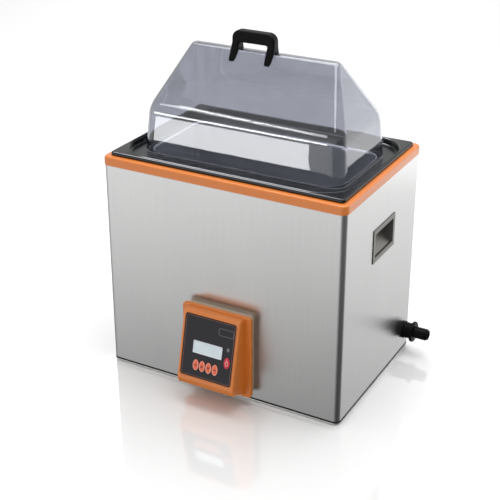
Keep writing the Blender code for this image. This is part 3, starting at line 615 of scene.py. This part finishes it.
for side in (-1, 1):
    leg_x = HANDLE_MIDDLE.x + side * (HALF_SPAN - LEG_WIDTH / 2)
    saddle = skin("saddle", [
        loop(SADDLE_HALF, reach, SADDLE_CORNER, height, 8, (leg_x, HANDLE_MIDDLE.y - forward))
        for reach, forward, height in saddle_section
    ])
    boolean(bow, saddle, "UNION")
boolean(bow, skin("lid_room", [loop(*station, LID_STEPS) for station in lid_stations(GAP)]))
fit(bow, black_nylon, "lid", "black_plastic", "lid_handle", sharp=40)


# Hand grips: stainless scoops pressed from sheet and glued in the side openings, each with
# a narrow frame and a floor that slopes back to its deepest at the top.
GRIP_HALF_Y = 0.046
GRIP_HALF_Z = 0.026
GRIP_DEPTH = 0.042
GRIP_DEEP_BAND = 0.008
GRIP_WALL = 0.0015
GRIP_FRAME = (0.0015, 0.110, 0.073)

# Stainless steel, pressed and satin: darker than the brushed wrap, with an even soft gloss.
pressed_stainless, shader = start_finish("stainless_steel_pressed", {"Metallic": 1.0})
vary(shader, pattern(shader.id_data, "ShaderNodeTexNoise", 0.004, {"Detail": 3.0}, (4, 4, 1)),
     ("#7C7A77", "#8A8884"), (0.42, 0.52), 0.00001)


def grip(name, side, node):
    """A framed scoop in one side wall."""
    wall_x = WRAP_HIGH.x + GAP if side > 0 else WRAP_LOW.x - GAP

    def scoop(profile, half_width, label):
        points = [(wall_x + side * x, GRIP_MIDDLE.z + z) for x, z in profile]
        return prism(label, points, GRIP_MIDDLE.y - half_width, GRIP_MIDDLE.y + half_width)

    shell = [
        (0.0005, -GRIP_HALF_Z - GRIP_WALL), (0.0005, GRIP_HALF_Z + GRIP_WALL),
        (-GRIP_DEPTH - GRIP_WALL, GRIP_HALF_Z + GRIP_WALL),
        (-GRIP_DEPTH - GRIP_WALL, GRIP_HALF_Z - GRIP_DEEP_BAND - GRIP_WALL),
        (-0.004 - GRIP_WALL, -GRIP_HALF_Z - GRIP_WALL),
    ]
    space = [
        (0.004, -GRIP_HALF_Z), (0.004, GRIP_HALF_Z), (-GRIP_DEPTH, GRIP_HALF_Z),
        (-GRIP_DEPTH, GRIP_HALF_Z - GRIP_DEEP_BAND), (-0.004, -GRIP_HALF_Z),
    ]
    frame_x = wall_x + side * GRIP_FRAME[0] / 2
    piece = place(name, block(name, GRIP_FRAME, (frame_x, GRIP_MIDDLE.y, GRIP_MIDDLE.z)))
    boolean(piece, scoop(shell, GRIP_HALF_Y + GRIP_WALL, "shell"), "UNION")
    boolean(piece, scoop(space, GRIP_HALF_Y, "space"))
    bevel(piece, 0.0005, 2, 40)
    fit(piece, pressed_stainless, "bath", "brushed_stainless", node)


grip("grip_scoop_right", 1, "grip_pocket_right")
grip("grip_scoop_left", -1, "grip_pocket_left")


# Panel spacer: grey ABS frame, moulded, that stands the control panel off the sheet and is
# screwed to it from inside.
SPACER_LOW, SPACER_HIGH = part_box("panel_spacer")
PANEL_X = (SPACER_LOW.x + SPACER_HIGH.x) / 2
PANEL_Z = (SPACER_LOW.z + SPACER_HIGH.z) / 2
SPACER_HALF = (0.0745, 0.0890)
SPACER_CORNER = 0.006
panel_mount = Matrix.Translation((PANEL_X, WRAP_LOW.y, PANEL_Z)) @ facing_back

# ABS, moulded in warm grey: matt, with the even fine grain of a sparked mould.
grey_abs, shader = start_finish("abs_grey_moulded", {"IOR": 1.54})
vary(shader, pattern(shader.id_data, "ShaderNodeTexNoise", 0.0015, {"Detail": 2.0}),
     ("#AC9A86", "#B7A592"), (0.45, 0.55), 0.00002)
spacer_section = [
    (0.0, GAP), (0.0, 0.0142), (0.0003, 0.0148), (0.0008, 0.0150), (0.0025, 0.0150), (0.0025, GAP),
]
spacer = place("panel_standoff", skin("panel_standoff", [
    loop(SPACER_HALF[0] - inset, SPACER_HALF[1] - inset, SPACER_CORNER - inset, z, 8, (0, 0))
    for inset, z in spacer_section
], closed=True), panel_mount)
fit(spacer, grey_abs, "bath", "grey_plastic", "panel_spacer")


# Panel housing: orange ABS moulding, a flat flange with a wedge that leans the keys towards
# the user. A fine raised lip runs round the recess for the overlay.
FLANGE_BACK = 0.0150 + GAP
FLANGE_FRONT = FLANGE_BACK + 0.008
FLANGE_HALF = (0.0800, 0.0935)
FLANGE_CORNER = 0.008
CASE_WALL = 0.003
FACE_WIDTH = 0.132
FACE_TOP = (0.206, 0.041)
FACE_BOTTOM = (0.060, 0.075)
FACE_TILT = math.atan2(FACE_BOTTOM[1] - FACE_TOP[1], FACE_TOP[0] - FACE_BOTTOM[0])
panel_face = panel_mount @ Matrix.Translation((
    0, (FACE_TOP[0] + FACE_BOTTOM[0]) / 2 - PANEL_Z, (FACE_TOP[1] + FACE_BOTTOM[1]) / 2,
)) @ Matrix.Rotation(-FACE_TILT, 4, "X")
OVERLAY_SIZE = (0.118, 0.132)
OVERLAY_Y = 0.0012
OVERLAY_CORNER = 0.0055
DISPLAY = (-0.0012, 0.0004)
DISPLAY_SIZE = (0.0675, 0.0266)
KEY_RADII = (0.0068, 0.0117)
KEY_SPOTS = {f"key_{number + 1}": (-0.0245 + 0.0149 * number, -0.0378) for number in range(4)}
KEY_SPOTS["power_key"] = (0.0458, -0.0165)
LAMP_SPOT = (0.0453, 0.0115)
LAMP_RADII = (0.0030, 0.0046)
SLACK = 0.0003
PIERCE = 0.01


def heights(profile):
    """Outline points given as height above the bench and reach from the wall, in the mount's frame."""
    return [(height - PANEL_Z, reach) for height, reach in profile]


def plate(name, size, centre, corner, low, high, steps=8):
    """A flat plate with rounded corners, in the frame of the panel's face."""
    return skin(name, [loop(size[0] / 2, size[1] / 2, corner, z, steps, centre) for z in (low, high)])


def oval(centre, radii, z, steps=40):
    """Anticlockwise points of an oval, in the frame of the panel's face."""
    turns = [math.tau * step / steps for step in range(steps)]
    return [
        (centre[0] + radii[0] * math.cos(turn), centre[1] + radii[1] * math.sin(turn), z) for turn in turns
    ]


def pierce_face(piece, window, corner):
    """Cut a piece of the panel's face for the display, the keys and the indicator."""
    boolean(piece, plate("window", window, DISPLAY, corner, -PIERCE, PIERCE, 2), where=panel_face)
    for spot, radii in [(spot, KEY_RADII) for spot in KEY_SPOTS.values()] + [(LAMP_SPOT, LAMP_RADII)]:
        hole = [radius + SLACK for radius in radii]
        boolean(piece, skin("hole", [oval(spot, hole, z) for z in (-PIERCE, PIERCE)]), where=panel_face)


wedge_profile = heights([
    (0.2045, FLANGE_BACK + 0.002), (0.2060, FACE_TOP[1] - 0.004), (FACE_TOP[0] - 0.0005, FACE_TOP[1]),
    FACE_BOTTOM, (FACE_BOTTOM[0] - 0.011, FACE_BOTTOM[1] - 0.003), (0.0240, FLANGE_BACK + 0.002),
])
wedge_mesh = prism("wedge", wedge_profile, -FACE_WIDTH / 2, FACE_WIDTH / 2, "X")
panel = place("panel_case", wedge_mesh, panel_mount)
bevel(panel, 0.0045, 5, 25)
flange_section = [
    (0.0004, FLANGE_BACK), (0.0, FLANGE_BACK + 0.0004), (0.0, FLANGE_FRONT - 0.0025),
    (0.0003, FLANGE_FRONT - 0.0012), (0.0010, FLANGE_FRONT - 0.0004), (0.0022, FLANGE_FRONT),
]
boolean(panel, skin("flange", [
    loop(FLANGE_HALF[0] - inset, FLANGE_HALF[1] - inset, FLANGE_CORNER - inset, z, 8, (0, 0))
    for inset, z in flange_section
]), "UNION", panel_mount)
cavity_half = FACE_WIDTH / 2 - CASE_WALL
cavity_profile = heights([
    (0.2010, FLANGE_BACK - PIERCE), (0.2010, FACE_TOP[1] - 0.005),
    (FACE_BOTTOM[0] + 0.001, FACE_BOTTOM[1] - 0.006), (FACE_BOTTOM[0] - 0.007, FACE_BOTTOM[1] - 0.007),
    (0.0290, FLANGE_BACK + 0.004), (0.0290, FLANGE_BACK - PIERCE),
])
boolean(panel, prism("cavity", cavity_profile, -cavity_half, cavity_half, "X"), where=panel_mount)
recess_size = [side + 2 * SLACK for side in OVERLAY_SIZE]
recess = plate("recess", recess_size, (0, OVERLAY_Y), OVERLAY_CORNER, -0.0012, PIERCE)
boolean(panel, recess, where=panel_face)
pierce_face(panel, [side - 0.005 for side in DISPLAY_SIZE], 0.001)
fit(panel, orange_abs, "bath", "orange_moulding", "panel_housing")

lip_section = [
    (0.0, -0.0010), (0.0, 0.0002), (-0.0004, 0.0007), (-0.0010, 0.0009), (-0.0016, 0.0007),
    (-0.0020, 0.0002), (-0.0022, -0.0010),
]
lip_half = [side / 2 for side in recess_size]
lip = place("panel_lip", skin("panel_lip", [
    loop(lip_half[0] - inset, lip_half[1] - inset, OVERLAY_CORNER - inset, z, 10, (0, OVERLAY_Y))
    for inset, z in lip_section
], closed=True), panel_face)
fit(lip, orange_abs, "bath", "orange_moulding")


# Overlay: charcoal polyester film, printed with a thin red-brown border and an empty grey
# box, and stuck into the recess.
BORDER_SIZE = (0.1125, 0.1265)
LABEL_BOX_SIZE = (0.0344, 0.0150)
LABEL_BOX_SPOT = (0.0376, 0.0447)
INK_LOW = -0.0002
INK_HIGH = 0.00005

# Polyester film, matt: nearly black with a cool tone, its fine texture dulling reflections.
charcoal_film, shader = start_finish("polyester_film_matt", {"IOR": 1.57, "Specular IOR Level": 0.15})
vary(shader, pattern(shader.id_data, "ShaderNodeTexNoise", 0.0009, {"Detail": 2.0}),
     ("#262528", "#2B2A2E"), (0.34, 0.44), 0.00001)
film = place("overlay_film", plate(
    "overlay_film", OVERLAY_SIZE, (0, OVERLAY_Y), OVERLAY_CORNER - SLACK, -0.0009, -0.0001), panel_face)
pierce_face(film, [side + 2 * SLACK for side in DISPLAY_SIZE], 0.0005)
fit(film, charcoal_film, "bath", "overlay_film", "panel_overlay")


def ink(name, colour):
    """Screen ink: one colour with the slight mottle of a printed coat."""
    made, ink_shader = start_finish(name, {"IOR": 1.5})
    print_grain = pattern(ink_shader.id_data, "ShaderNodeTexNoise", 0.0006, {"Detail": 2.0})
    darker = "#" + "".join(f"{int(int(colour[at:at + 2], 16) * 0.93):02X}" for at in (1, 3, 5))
    vary(ink_shader, print_grain, (darker, colour), (0.38, 0.48))
    return made


def printed_frame(name, size, centre, corner, width, colour):
    """A printed rounded outline of an even width."""
    section = [(0, INK_LOW), (0, INK_HIGH), (width, INK_HIGH), (width, INK_LOW)]
    line = place(name, skin(name, [
        loop(size[0] / 2 - inset, size[1] / 2 - inset, corner - inset, z, 8, centre) for inset, z in section
    ], closed=True), panel_face)
    fit(line, colour, "bath", "overlay_film")


red_brown_ink = ink("screen_ink_red_brown", "#8A5340")
grey_ink = ink("screen_ink_grey", "#7C7C82")
printed_frame("overlay_border", BORDER_SIZE, (0, OVERLAY_Y), 0.0048, 0.0007, red_brown_ink)
printed_frame("overlay_label_box", LABEL_BOX_SIZE, LABEL_BOX_SPOT, 0.0020, 0.0006, grey_ink)


# Display: pale acrylic window over a character module that shows nothing, held in a
# bevelled moulded frame.
PANE_INSET = 0.0040
BEZEL_CORNER = 0.0022

# Acrylic, polished and lit faintly from behind: an even pale blue-grey with a glassy surface.
display_glass, shader = start_finish("acrylic_window_backlit", {"IOR": 1.49, "Emission Strength": 0.03})
shader.inputs["Emission Color"].default_value = linear("#DCE9EC")
vary(shader, pattern(shader.id_data, "ShaderNodeTexNoise", 0.02, {"Detail": 1.0}),
     ("#C6D2D7", "#D0DCE0"), (0.12, 0.18))
pane_size = [side - PANE_INSET for side in DISPLAY_SIZE]
pane = plate("display_pane", pane_size, DISPLAY, 0.0008, -0.0009, -0.0004)
window = place("display_pane", pane, panel_face)
fit(window, display_glass, "bath", "display_window", "display_window")

# Polycarbonate, moulded in pale grey: a satin frame, lighter than the pane.
pale_frame, shader = start_finish("polycarbonate_pale_moulded", {"IOR": 1.58})
vary(shader, pattern(shader.id_data, "ShaderNodeTexNoise", 0.002, {"Detail": 2.0}),
     ("#D3D9E3", "#DFE4EC"), (0.25, 0.32))
bezel_section = [(0.0, -0.0009), (0.0, 0.0001), (0.0004, 0.0004), (0.0020, -0.0003), (0.0020, -0.0009)]
bezel = place("display_bezel", skin("display_bezel", [
    loop(DISPLAY_SIZE[0] / 2 - inset, DISPLAY_SIZE[1] / 2 - inset, BEZEL_CORNER - inset, z, 6, DISPLAY)
    for inset, z in bezel_section
], closed=True), panel_face)
fit(bezel, pale_frame, "bath", "display_window")


# Keys: translucent orange-red silicone caps, oval and slightly domed, each printed with a
# pale ring and a plain dark symbol. The power key is deeper red.
CAP_FOOT = -0.0070
CAP_TOP = 0.0012
PRINT_LOW = 0.0006
PRINT_TOP = CAP_TOP + 0.0001
RING_WIDTH = 0.0011

# Silicone, moulded in two reds: soft and slightly glowing, with a rubbery half-matt skin.
silicone_red, shader = start_finish("silicone_orange_red_moulded", {"IOR": 1.41, "Subsurface Weight": 0.1})
vary(shader, pattern(shader.id_data, "ShaderNodeTexNoise", 0.003, {"Detail": 2.0}),
     ("#E4603F", "#EC6E4E"), (0.36, 0.44))
silicone_crimson, shader = start_finish("silicone_crimson_moulded", {"IOR": 1.41, "Subsurface Weight": 0.1})
vary(shader, pattern(shader.id_data, "ShaderNodeTexNoise", 0.003, {"Detail": 2.0}),
     ("#C4283C", "#D23448"), (0.36, 0.44))
pale_ink = ink("screen_ink_pale_pink", "#F3B9A6")
dark_ink = ink("screen_ink_dark_red", "#5A1E1A")


def domed(name, spot, radii, rings, steps=40):
    """A cap through ovals, each a share of the full size at its own height."""
    return place(name, skin(name, [
        oval(spot, (radii[0] * share, radii[1] * share), z, steps) for share, z in rings
    ]), panel_face)


def key_cap(name, spot, finish):
    """A domed oval cap, riding on the key's own body."""
    rings = [(1.0, CAP_FOOT), (1.0, 0.0004), (0.97, 0.0008), (0.90, 0.0010), (0.70, 0.00115), (0.35, CAP_TOP)]
    fit(domed(name + "_cap", spot, KEY_RADII, rings), finish, name, "key_red", name, sharp=60)


def oval_ring(name, spot, radii, low, high):
    """A printed oval outline."""
    section = [(0, low), (0, high), (RING_WIDTH, high), (RING_WIDTH, low)]
    return place(name, skin(name, [
        oval(spot, (radii[0] - inset, radii[1] - inset), z) for inset, z in section
    ], closed=True), panel_face)


def stamp(name, outline, spot):
    """A printed symbol of a flat outline, just proud of the cap."""
    return place(name, skin(name, [
        [(spot[0] + x, spot[1] + y, z) for x, y in outline] for z in (PRINT_LOW, PRINT_TOP)
    ]), panel_face)


DASH = [(-0.0030, -0.0009), (0.0030, -0.0009), (0.0030, 0.0009), (-0.0030, 0.0009)]
UP = [(-0.0030, -0.0026), (0.0030, -0.0026), (0.0, 0.0034)]
DOWN = [(-0.0030, 0.0026), (0.0, -0.0034), (0.0030, 0.0026)]
for name, outline in (("key_1", DASH), ("key_2", UP), ("key_3", DOWN), ("key_4", DASH)):
    spot = KEY_SPOTS[name]
    key_cap(name, spot, silicone_red)
    rim = oval_ring(name + "_rim", spot, (0.0062, 0.0109), 0.0004, 0.00125)
    fit(rim, pale_ink, name, "key_red")
    fit(stamp(name + "_mark", outline, spot), dark_ink, name, "key_red")

power_x, power_y = KEY_SPOTS["power_key"]
key_cap("power_key", (power_x, power_y), silicone_crimson)
power_ring = oval_ring("power_key_ring", (power_x, power_y - 0.0006), (0.0034, 0.0056), PRINT_LOW, PRINT_TOP)
boolean(power_ring, block("gap", (0.0024, 0.006, 0.01), (power_x, power_y + 0.0052, 0.001)), where=panel_face)
fit(power_ring, pale_ink, "power_key", "key_red")
power_bar = place("power_key_bar", block(
    "power_key_bar", (0.0010, 0.0062, 0.0007), (power_x, power_y + 0.0040, CAP_TOP - 0.00025)), panel_face)
fit(power_bar, pale_ink, "power_key", "key_red")


# Indicator: a small oval lens of grey acrylic, pushed through the overlay beside the display.
# Its lamp is off. The lens is smooth, and lets a little light into its body.
grey_lens, shader = start_finish("acrylic_grey_lens", {"IOR": 1.49, "Transmission Weight": 0.3})
vary(shader, pattern(shader.id_data, "ShaderNodeTexNoise", 0.002, {"Detail": 1.0}),
     ("#77777C", "#86868B"), (0.12, 0.2))
lens_rings = [(1.0, CAP_FOOT), (1.0, 0.0), (0.85, 0.0002), (0.5, 0.0003)]
lens = domed("indicator_cap", LAMP_SPOT, LAMP_RADII, lens_rings, 32)
fit(lens, grey_lens, "bath", "indicator_grey", "indicator_lens", sharp=60)


# Drain: glass-filled nylon fitting through the right wall with a rubber gasket, a turning
# collar with a grip rim, and a barbed nozzle for a hose.
OUT = (1, 0, 0)
BORE = 0.0085
NOZZLE_END = 0.0590
FIRST_RIB = 0.0530
RIB_PITCH = 0.0066
NOTCH_COUNT = 16
NOTCH_RADIUS = 0.0022
NOTCH_CIRCLE = 0.0242
drain_profile = [
    (0.0160, 0.0205), (0.0171, 0.0200), (0.0175, 0.0190), (0.0175, 0.0064), (0.0179, 0.0054),
    (0.0189, 0.0048), (0.0195, 0.0042), (0.0195, 0.0022), (0.0191, 0.0018), (0.0115, 0.0018),
    (0.0115, -0.035), (BORE, -0.035), (BORE, 0.0205),
]
fitting = turned("drain_fitting", drain_profile, DRAIN_SPOT, OUT, 48)
fit(fitting, black_nylon, "bath", "black_plastic", "drain_body")
gasket_profile = [
    (0.0187, 0.0015), (0.0190, 0.0012), (0.0190, 0.0006), (0.0187, GAP), (0.0121, GAP), (0.0121, 0.0015),
]
gasket = turned("drain_seal", gasket_profile, DRAIN_SPOT, OUT, 48)
fit(gasket, black_rubber, "bath", "black_rubber", "drain_gasket")
collar_profile = [
    (0.0210, 0.0272), (0.0222, 0.0268), (0.0229, 0.0258), (0.0230, 0.0222), (0.0226, 0.0213),
    (0.0215, 0.0208), (0.0129, 0.0208), (0.0129, 0.0272),
]
collar = turned("drain_ring", collar_profile, DRAIN_SPOT, OUT, 64)
notch_turns = [math.tau * number / NOTCH_COUNT for number in range(NOTCH_COUNT)]
boolean(collar, gather("notches", [
    (rod("notch", NOTCH_RADIUS, 0.012, 16), Matrix.Translation(DRAIN_SPOT + Vector(
        (0.024, NOTCH_CIRCLE * math.cos(turn), NOTCH_CIRCLE * math.sin(turn)))) @ facing_side)
    for turn in notch_turns
]))
fit(collar, black_nylon, "drain_collar", "black_plastic", "drain_collar")
nozzle_profile = [(0.0100, NOZZLE_END), (0.0106, 0.0586)]
for rib in range(4):
    rib_foot = FIRST_RIB - RIB_PITCH * rib
    nozzle_profile += [
        (0.0131, rib_foot + 0.0005), (0.0134, rib_foot - 0.0002), (0.0134, rib_foot - 0.0010),
        (0.0121, rib_foot - 0.0014),
    ]
nozzle_profile += [(0.0125, 0.0278), (0.0125, 0.0209), (BORE, 0.0209), (BORE, NOZZLE_END)]
nozzle = turned("drain_barb", nozzle_profile, DRAIN_SPOT, OUT, 48)
fit(nozzle, black_nylon, "bath", "black_plastic", "drain_nozzle")


# Rear: an appliance inlet in black nylon with a fuse drawer that slides out, a turned brass
# bonding stud, and a blank plate glued to the sheet.
def keep(node, finish, width=0.0):
    """Keep a CAD node's own shape with a proper finish and, if asked, softened edges."""
    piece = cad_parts[node]
    for held in piece.material_slots:
        held.material = finish
    if width:
        edge = piece.modifiers.new("Soft edges", "BEVEL")
        edge.width = width
        edge.segments = 2
        edge.limit_method = "ANGLE"
        edge.angle_limit = math.radians(40)


# Brass, turned: warm yellow, with fine tool rings that brighten and dull in turn.
plain_brass, shader = start_finish("brass_turned", {"Metallic": 1.0})
vary(shader, pattern(shader.id_data, "ShaderNodeTexNoise", 0.0008, {"Detail": 2.0}, (1, 6, 1)),
     ("#B08A45", "#CDAA62"), (0.24, 0.36))
keep("mains_inlet", black_nylon)
keep("fuse_drawer", black_nylon, 0.0004)
keep("bonding_stud", plain_brass, 0.0003)
keep("blank_plate", brushed_stainless)


# Inside parts, hidden unless the model is opened: heater, thermostat, probe, outlet, nuts,
# hose, boards and transformer, in their bought-in finishes.

# Glass epoxy board: green solder mask, glossy and faintly woven.
board_green, shader = start_finish("glass_epoxy_green_mask", {"IOR": 1.55})
vary(shader, pattern(shader.id_data, "ShaderNodeTexNoise", 0.003, {"Detail": 3.0}),
     ("#14532A", "#1C6638"), (0.30, 0.42))

# Silicone, extruded: a dull milky white.
silicone_white, shader = start_finish("silicone_white_extruded", {"IOR": 1.41})
vary(shader, pattern(shader.id_data, "ShaderNodeTexNoise", 0.004, {"Detail": 2.0}),
     ("#CFCFC9", "#DEDED8"), (0.5, 0.6))
for node, finish in (
    ("temperature_probe", pressed_stainless), ("tank_outlet", plain_brass), ("outlet_nut", plain_brass),
    ("probe_nut", plain_brass), ("heating_plate", zinc_steel), ("limit_thermostat", plain_brass),
    ("drain_locknut", black_nylon), ("drain_hose", silicone_white), ("display_module", black_nylon),
    ("key_board", board_green), ("power_board", board_green), ("power_relay", black_nylon),
    ("terminal_block", black_nylon), ("transformer", zinc_steel), ("handle_screw_left", zinc_steel),
    ("handle_screw_right", zinc_steel),
):
    keep(node, finish)


# Studio: a white glossy table, a broad lamp overhead, and softboxes for the lid, the rim, the
# right side and the far end of the table, in a white surround that the steel mirrors.
FAR_SIDE = (0.48, 0.88, 0)

# Dark flags in the surround: the way to each, the cosines of the angles at its edge and its
# core, and the share of light left at its core.
FLAGS = (
    ((0.86, -0.35, -0.37), 0.50, 0.80, 0.14),
    ((-0.80, 0.42, -0.43), 0.60, 0.88, 0.40),
)


def softbox(name, size, spot, aim, power, only=()):
    """A soft rectangular lamp, unseen by the camera itself, that may be flagged off all but some pieces."""
    data = bpy.data.lights.new(name, "AREA")
    data.shape = "RECTANGLE"
    data.size, data.size_y = size
    data.energy = power
    lamp = bpy.data.objects.new(name, data)
    lamp.location = spot
    lamp.rotation_euler = (Vector(aim) - Vector(spot)).to_track_quat("-Z", "Y").to_euler()
    lamp.visible_camera = False
    scene.collection.objects.link(lamp)
    if only:
        lit = bpy.data.collections.new(name + "_lights")
        for piece in only:
            lit.objects.link(piece)
        lamp.light_linking.receiver_collection = lit


# Acrylic sheet, white and polished: it mirrors the bath more strongly than acrylic's own IOR
# of 1.49 would, so the IOR is raised.
white_table, shader = start_finish("acrylic_sheet_white", {"IOR": 2.7})
vary(shader, pattern(shader.id_data, "ShaderNodeTexNoise", 0.5, {"Detail": 1.0}),
     ("#F4F4F4", "#F8F8F8"), (0.05, 0.08))
table = place("table", plate("table", (40, 40), (0, 0), 1.0, -0.02, -0.0004, 4))
table.data.materials.append(white_table)
table.visible_glossy = False

# The surround is bright about the horizon and fades towards the top. Steeply downwards it is
# dim, but less so on the far side. The camera itself sees it plain white.
studio = bpy.data.worlds.new("studio")
scene.world = studio
studio.use_nodes = True
sky = studio.node_tree
direction = add_node(sky, "ShaderNodeTexCoord", {}).outputs["Generated"]
height = add_node(sky, "ShaderNodeSeparateXYZ", {}, {0: direction}).outputs["Z"]
behind = add_node(sky, "ShaderNodeVectorMath", {"operation": "DOT_PRODUCT", 1: FAR_SIDE}, {0: direction})
lowest = add_node(sky, "ShaderNodeMapRange", {
    "From Min": -0.2, "From Max": 0.8, "To Min": 0.18, "To Max": 0.58,
}, {"Value": behind.outputs["Value"]}).outputs[0]
level = add_node(sky, "ShaderNodeMapRange", {
    "interpolation_type": "SMOOTHSTEP", "From Min": -0.62, "From Max": -0.32, "To Max": 1.40,
}, {"Value": height, "To Min": lowest}).outputs[0]
dusk = add_node(sky, "ShaderNodeMapRange", {
    "interpolation_type": "SMOOTHSTEP", "From Min": -0.1, "From Max": 0.4, "To Min": 1.0, "To Max": 0.55,
}, {"Value": height}).outputs[0]
level = add_node(sky, "ShaderNodeMath", {"operation": "MULTIPLY"}, {0: level, 1: dusk}).outputs[0]
for towards, edge, core, share in FLAGS:
    nearness = add_node(sky, "ShaderNodeVectorMath", {"operation": "DOT_PRODUCT", 1: towards}, {0: direction})
    flag = add_node(sky, "ShaderNodeMapRange", {
        "interpolation_type": "SMOOTHSTEP",
        "From Min": edge, "From Max": core, "To Min": 1.0, "To Max": share,
    }, {"Value": nearness.outputs["Value"]}).outputs[0]
    level = add_node(sky, "ShaderNodeMath", {"operation": "MULTIPLY"}, {0: level, 1: flag}).outputs[0]
seen = add_node(sky, "ShaderNodeLightPath", {}).outputs["Is Camera Ray"]
level = add_node(sky, "ShaderNodeMix", {3: 1.0}, {0: seen, 2: level}).outputs[0]
sky.nodes["Background"].inputs["Color"].default_value = (1, 1, 1, 1)
sky.links.new(level, sky.nodes["Background"].inputs["Strength"])

softbox("overhead", (2.4, 1.8), (0.1, 0.3, 2.3), (0, 0, 0.3), 46)
softbox("far_table_box", (2.5, 2.0), (-2.0, 2.9, 3.0), (-2.0, 2.9, 0), 42, (table,))
softbox("front_box", (0.57, 0.40), (-0.525, -0.9, 0.20), (-0.525, 0, 0.20), 4.8, (dome,))
softbox("crease_strip", (1.0, 0.14), (-0.60, -1.0, 0.70), (0.0, -0.1, 0.57), 5.0, (dome,))
softbox("roof_strip", (0.5, 0.016), (-0.70, -1.0, 1.53), (0.04, -0.06, 0.66), 0.9, (dome,))
softbox("roof_box", (0.62, 0.20), (-0.68, -1.02, 1.52), (0.0, -0.09, 0.60), 1.8, (dome,))
softbox("rim_box", (0.8, 0.8), (-0.76, 0.03, 1.81), (0.0, -0.1, 0.49), 36, (bpy.data.objects["tank_rim"],))
softbox("right_box", (0.9, 0.9), (0.66, 0.97, 0.5), (0.2, 0.0, 0.5), 1.0)
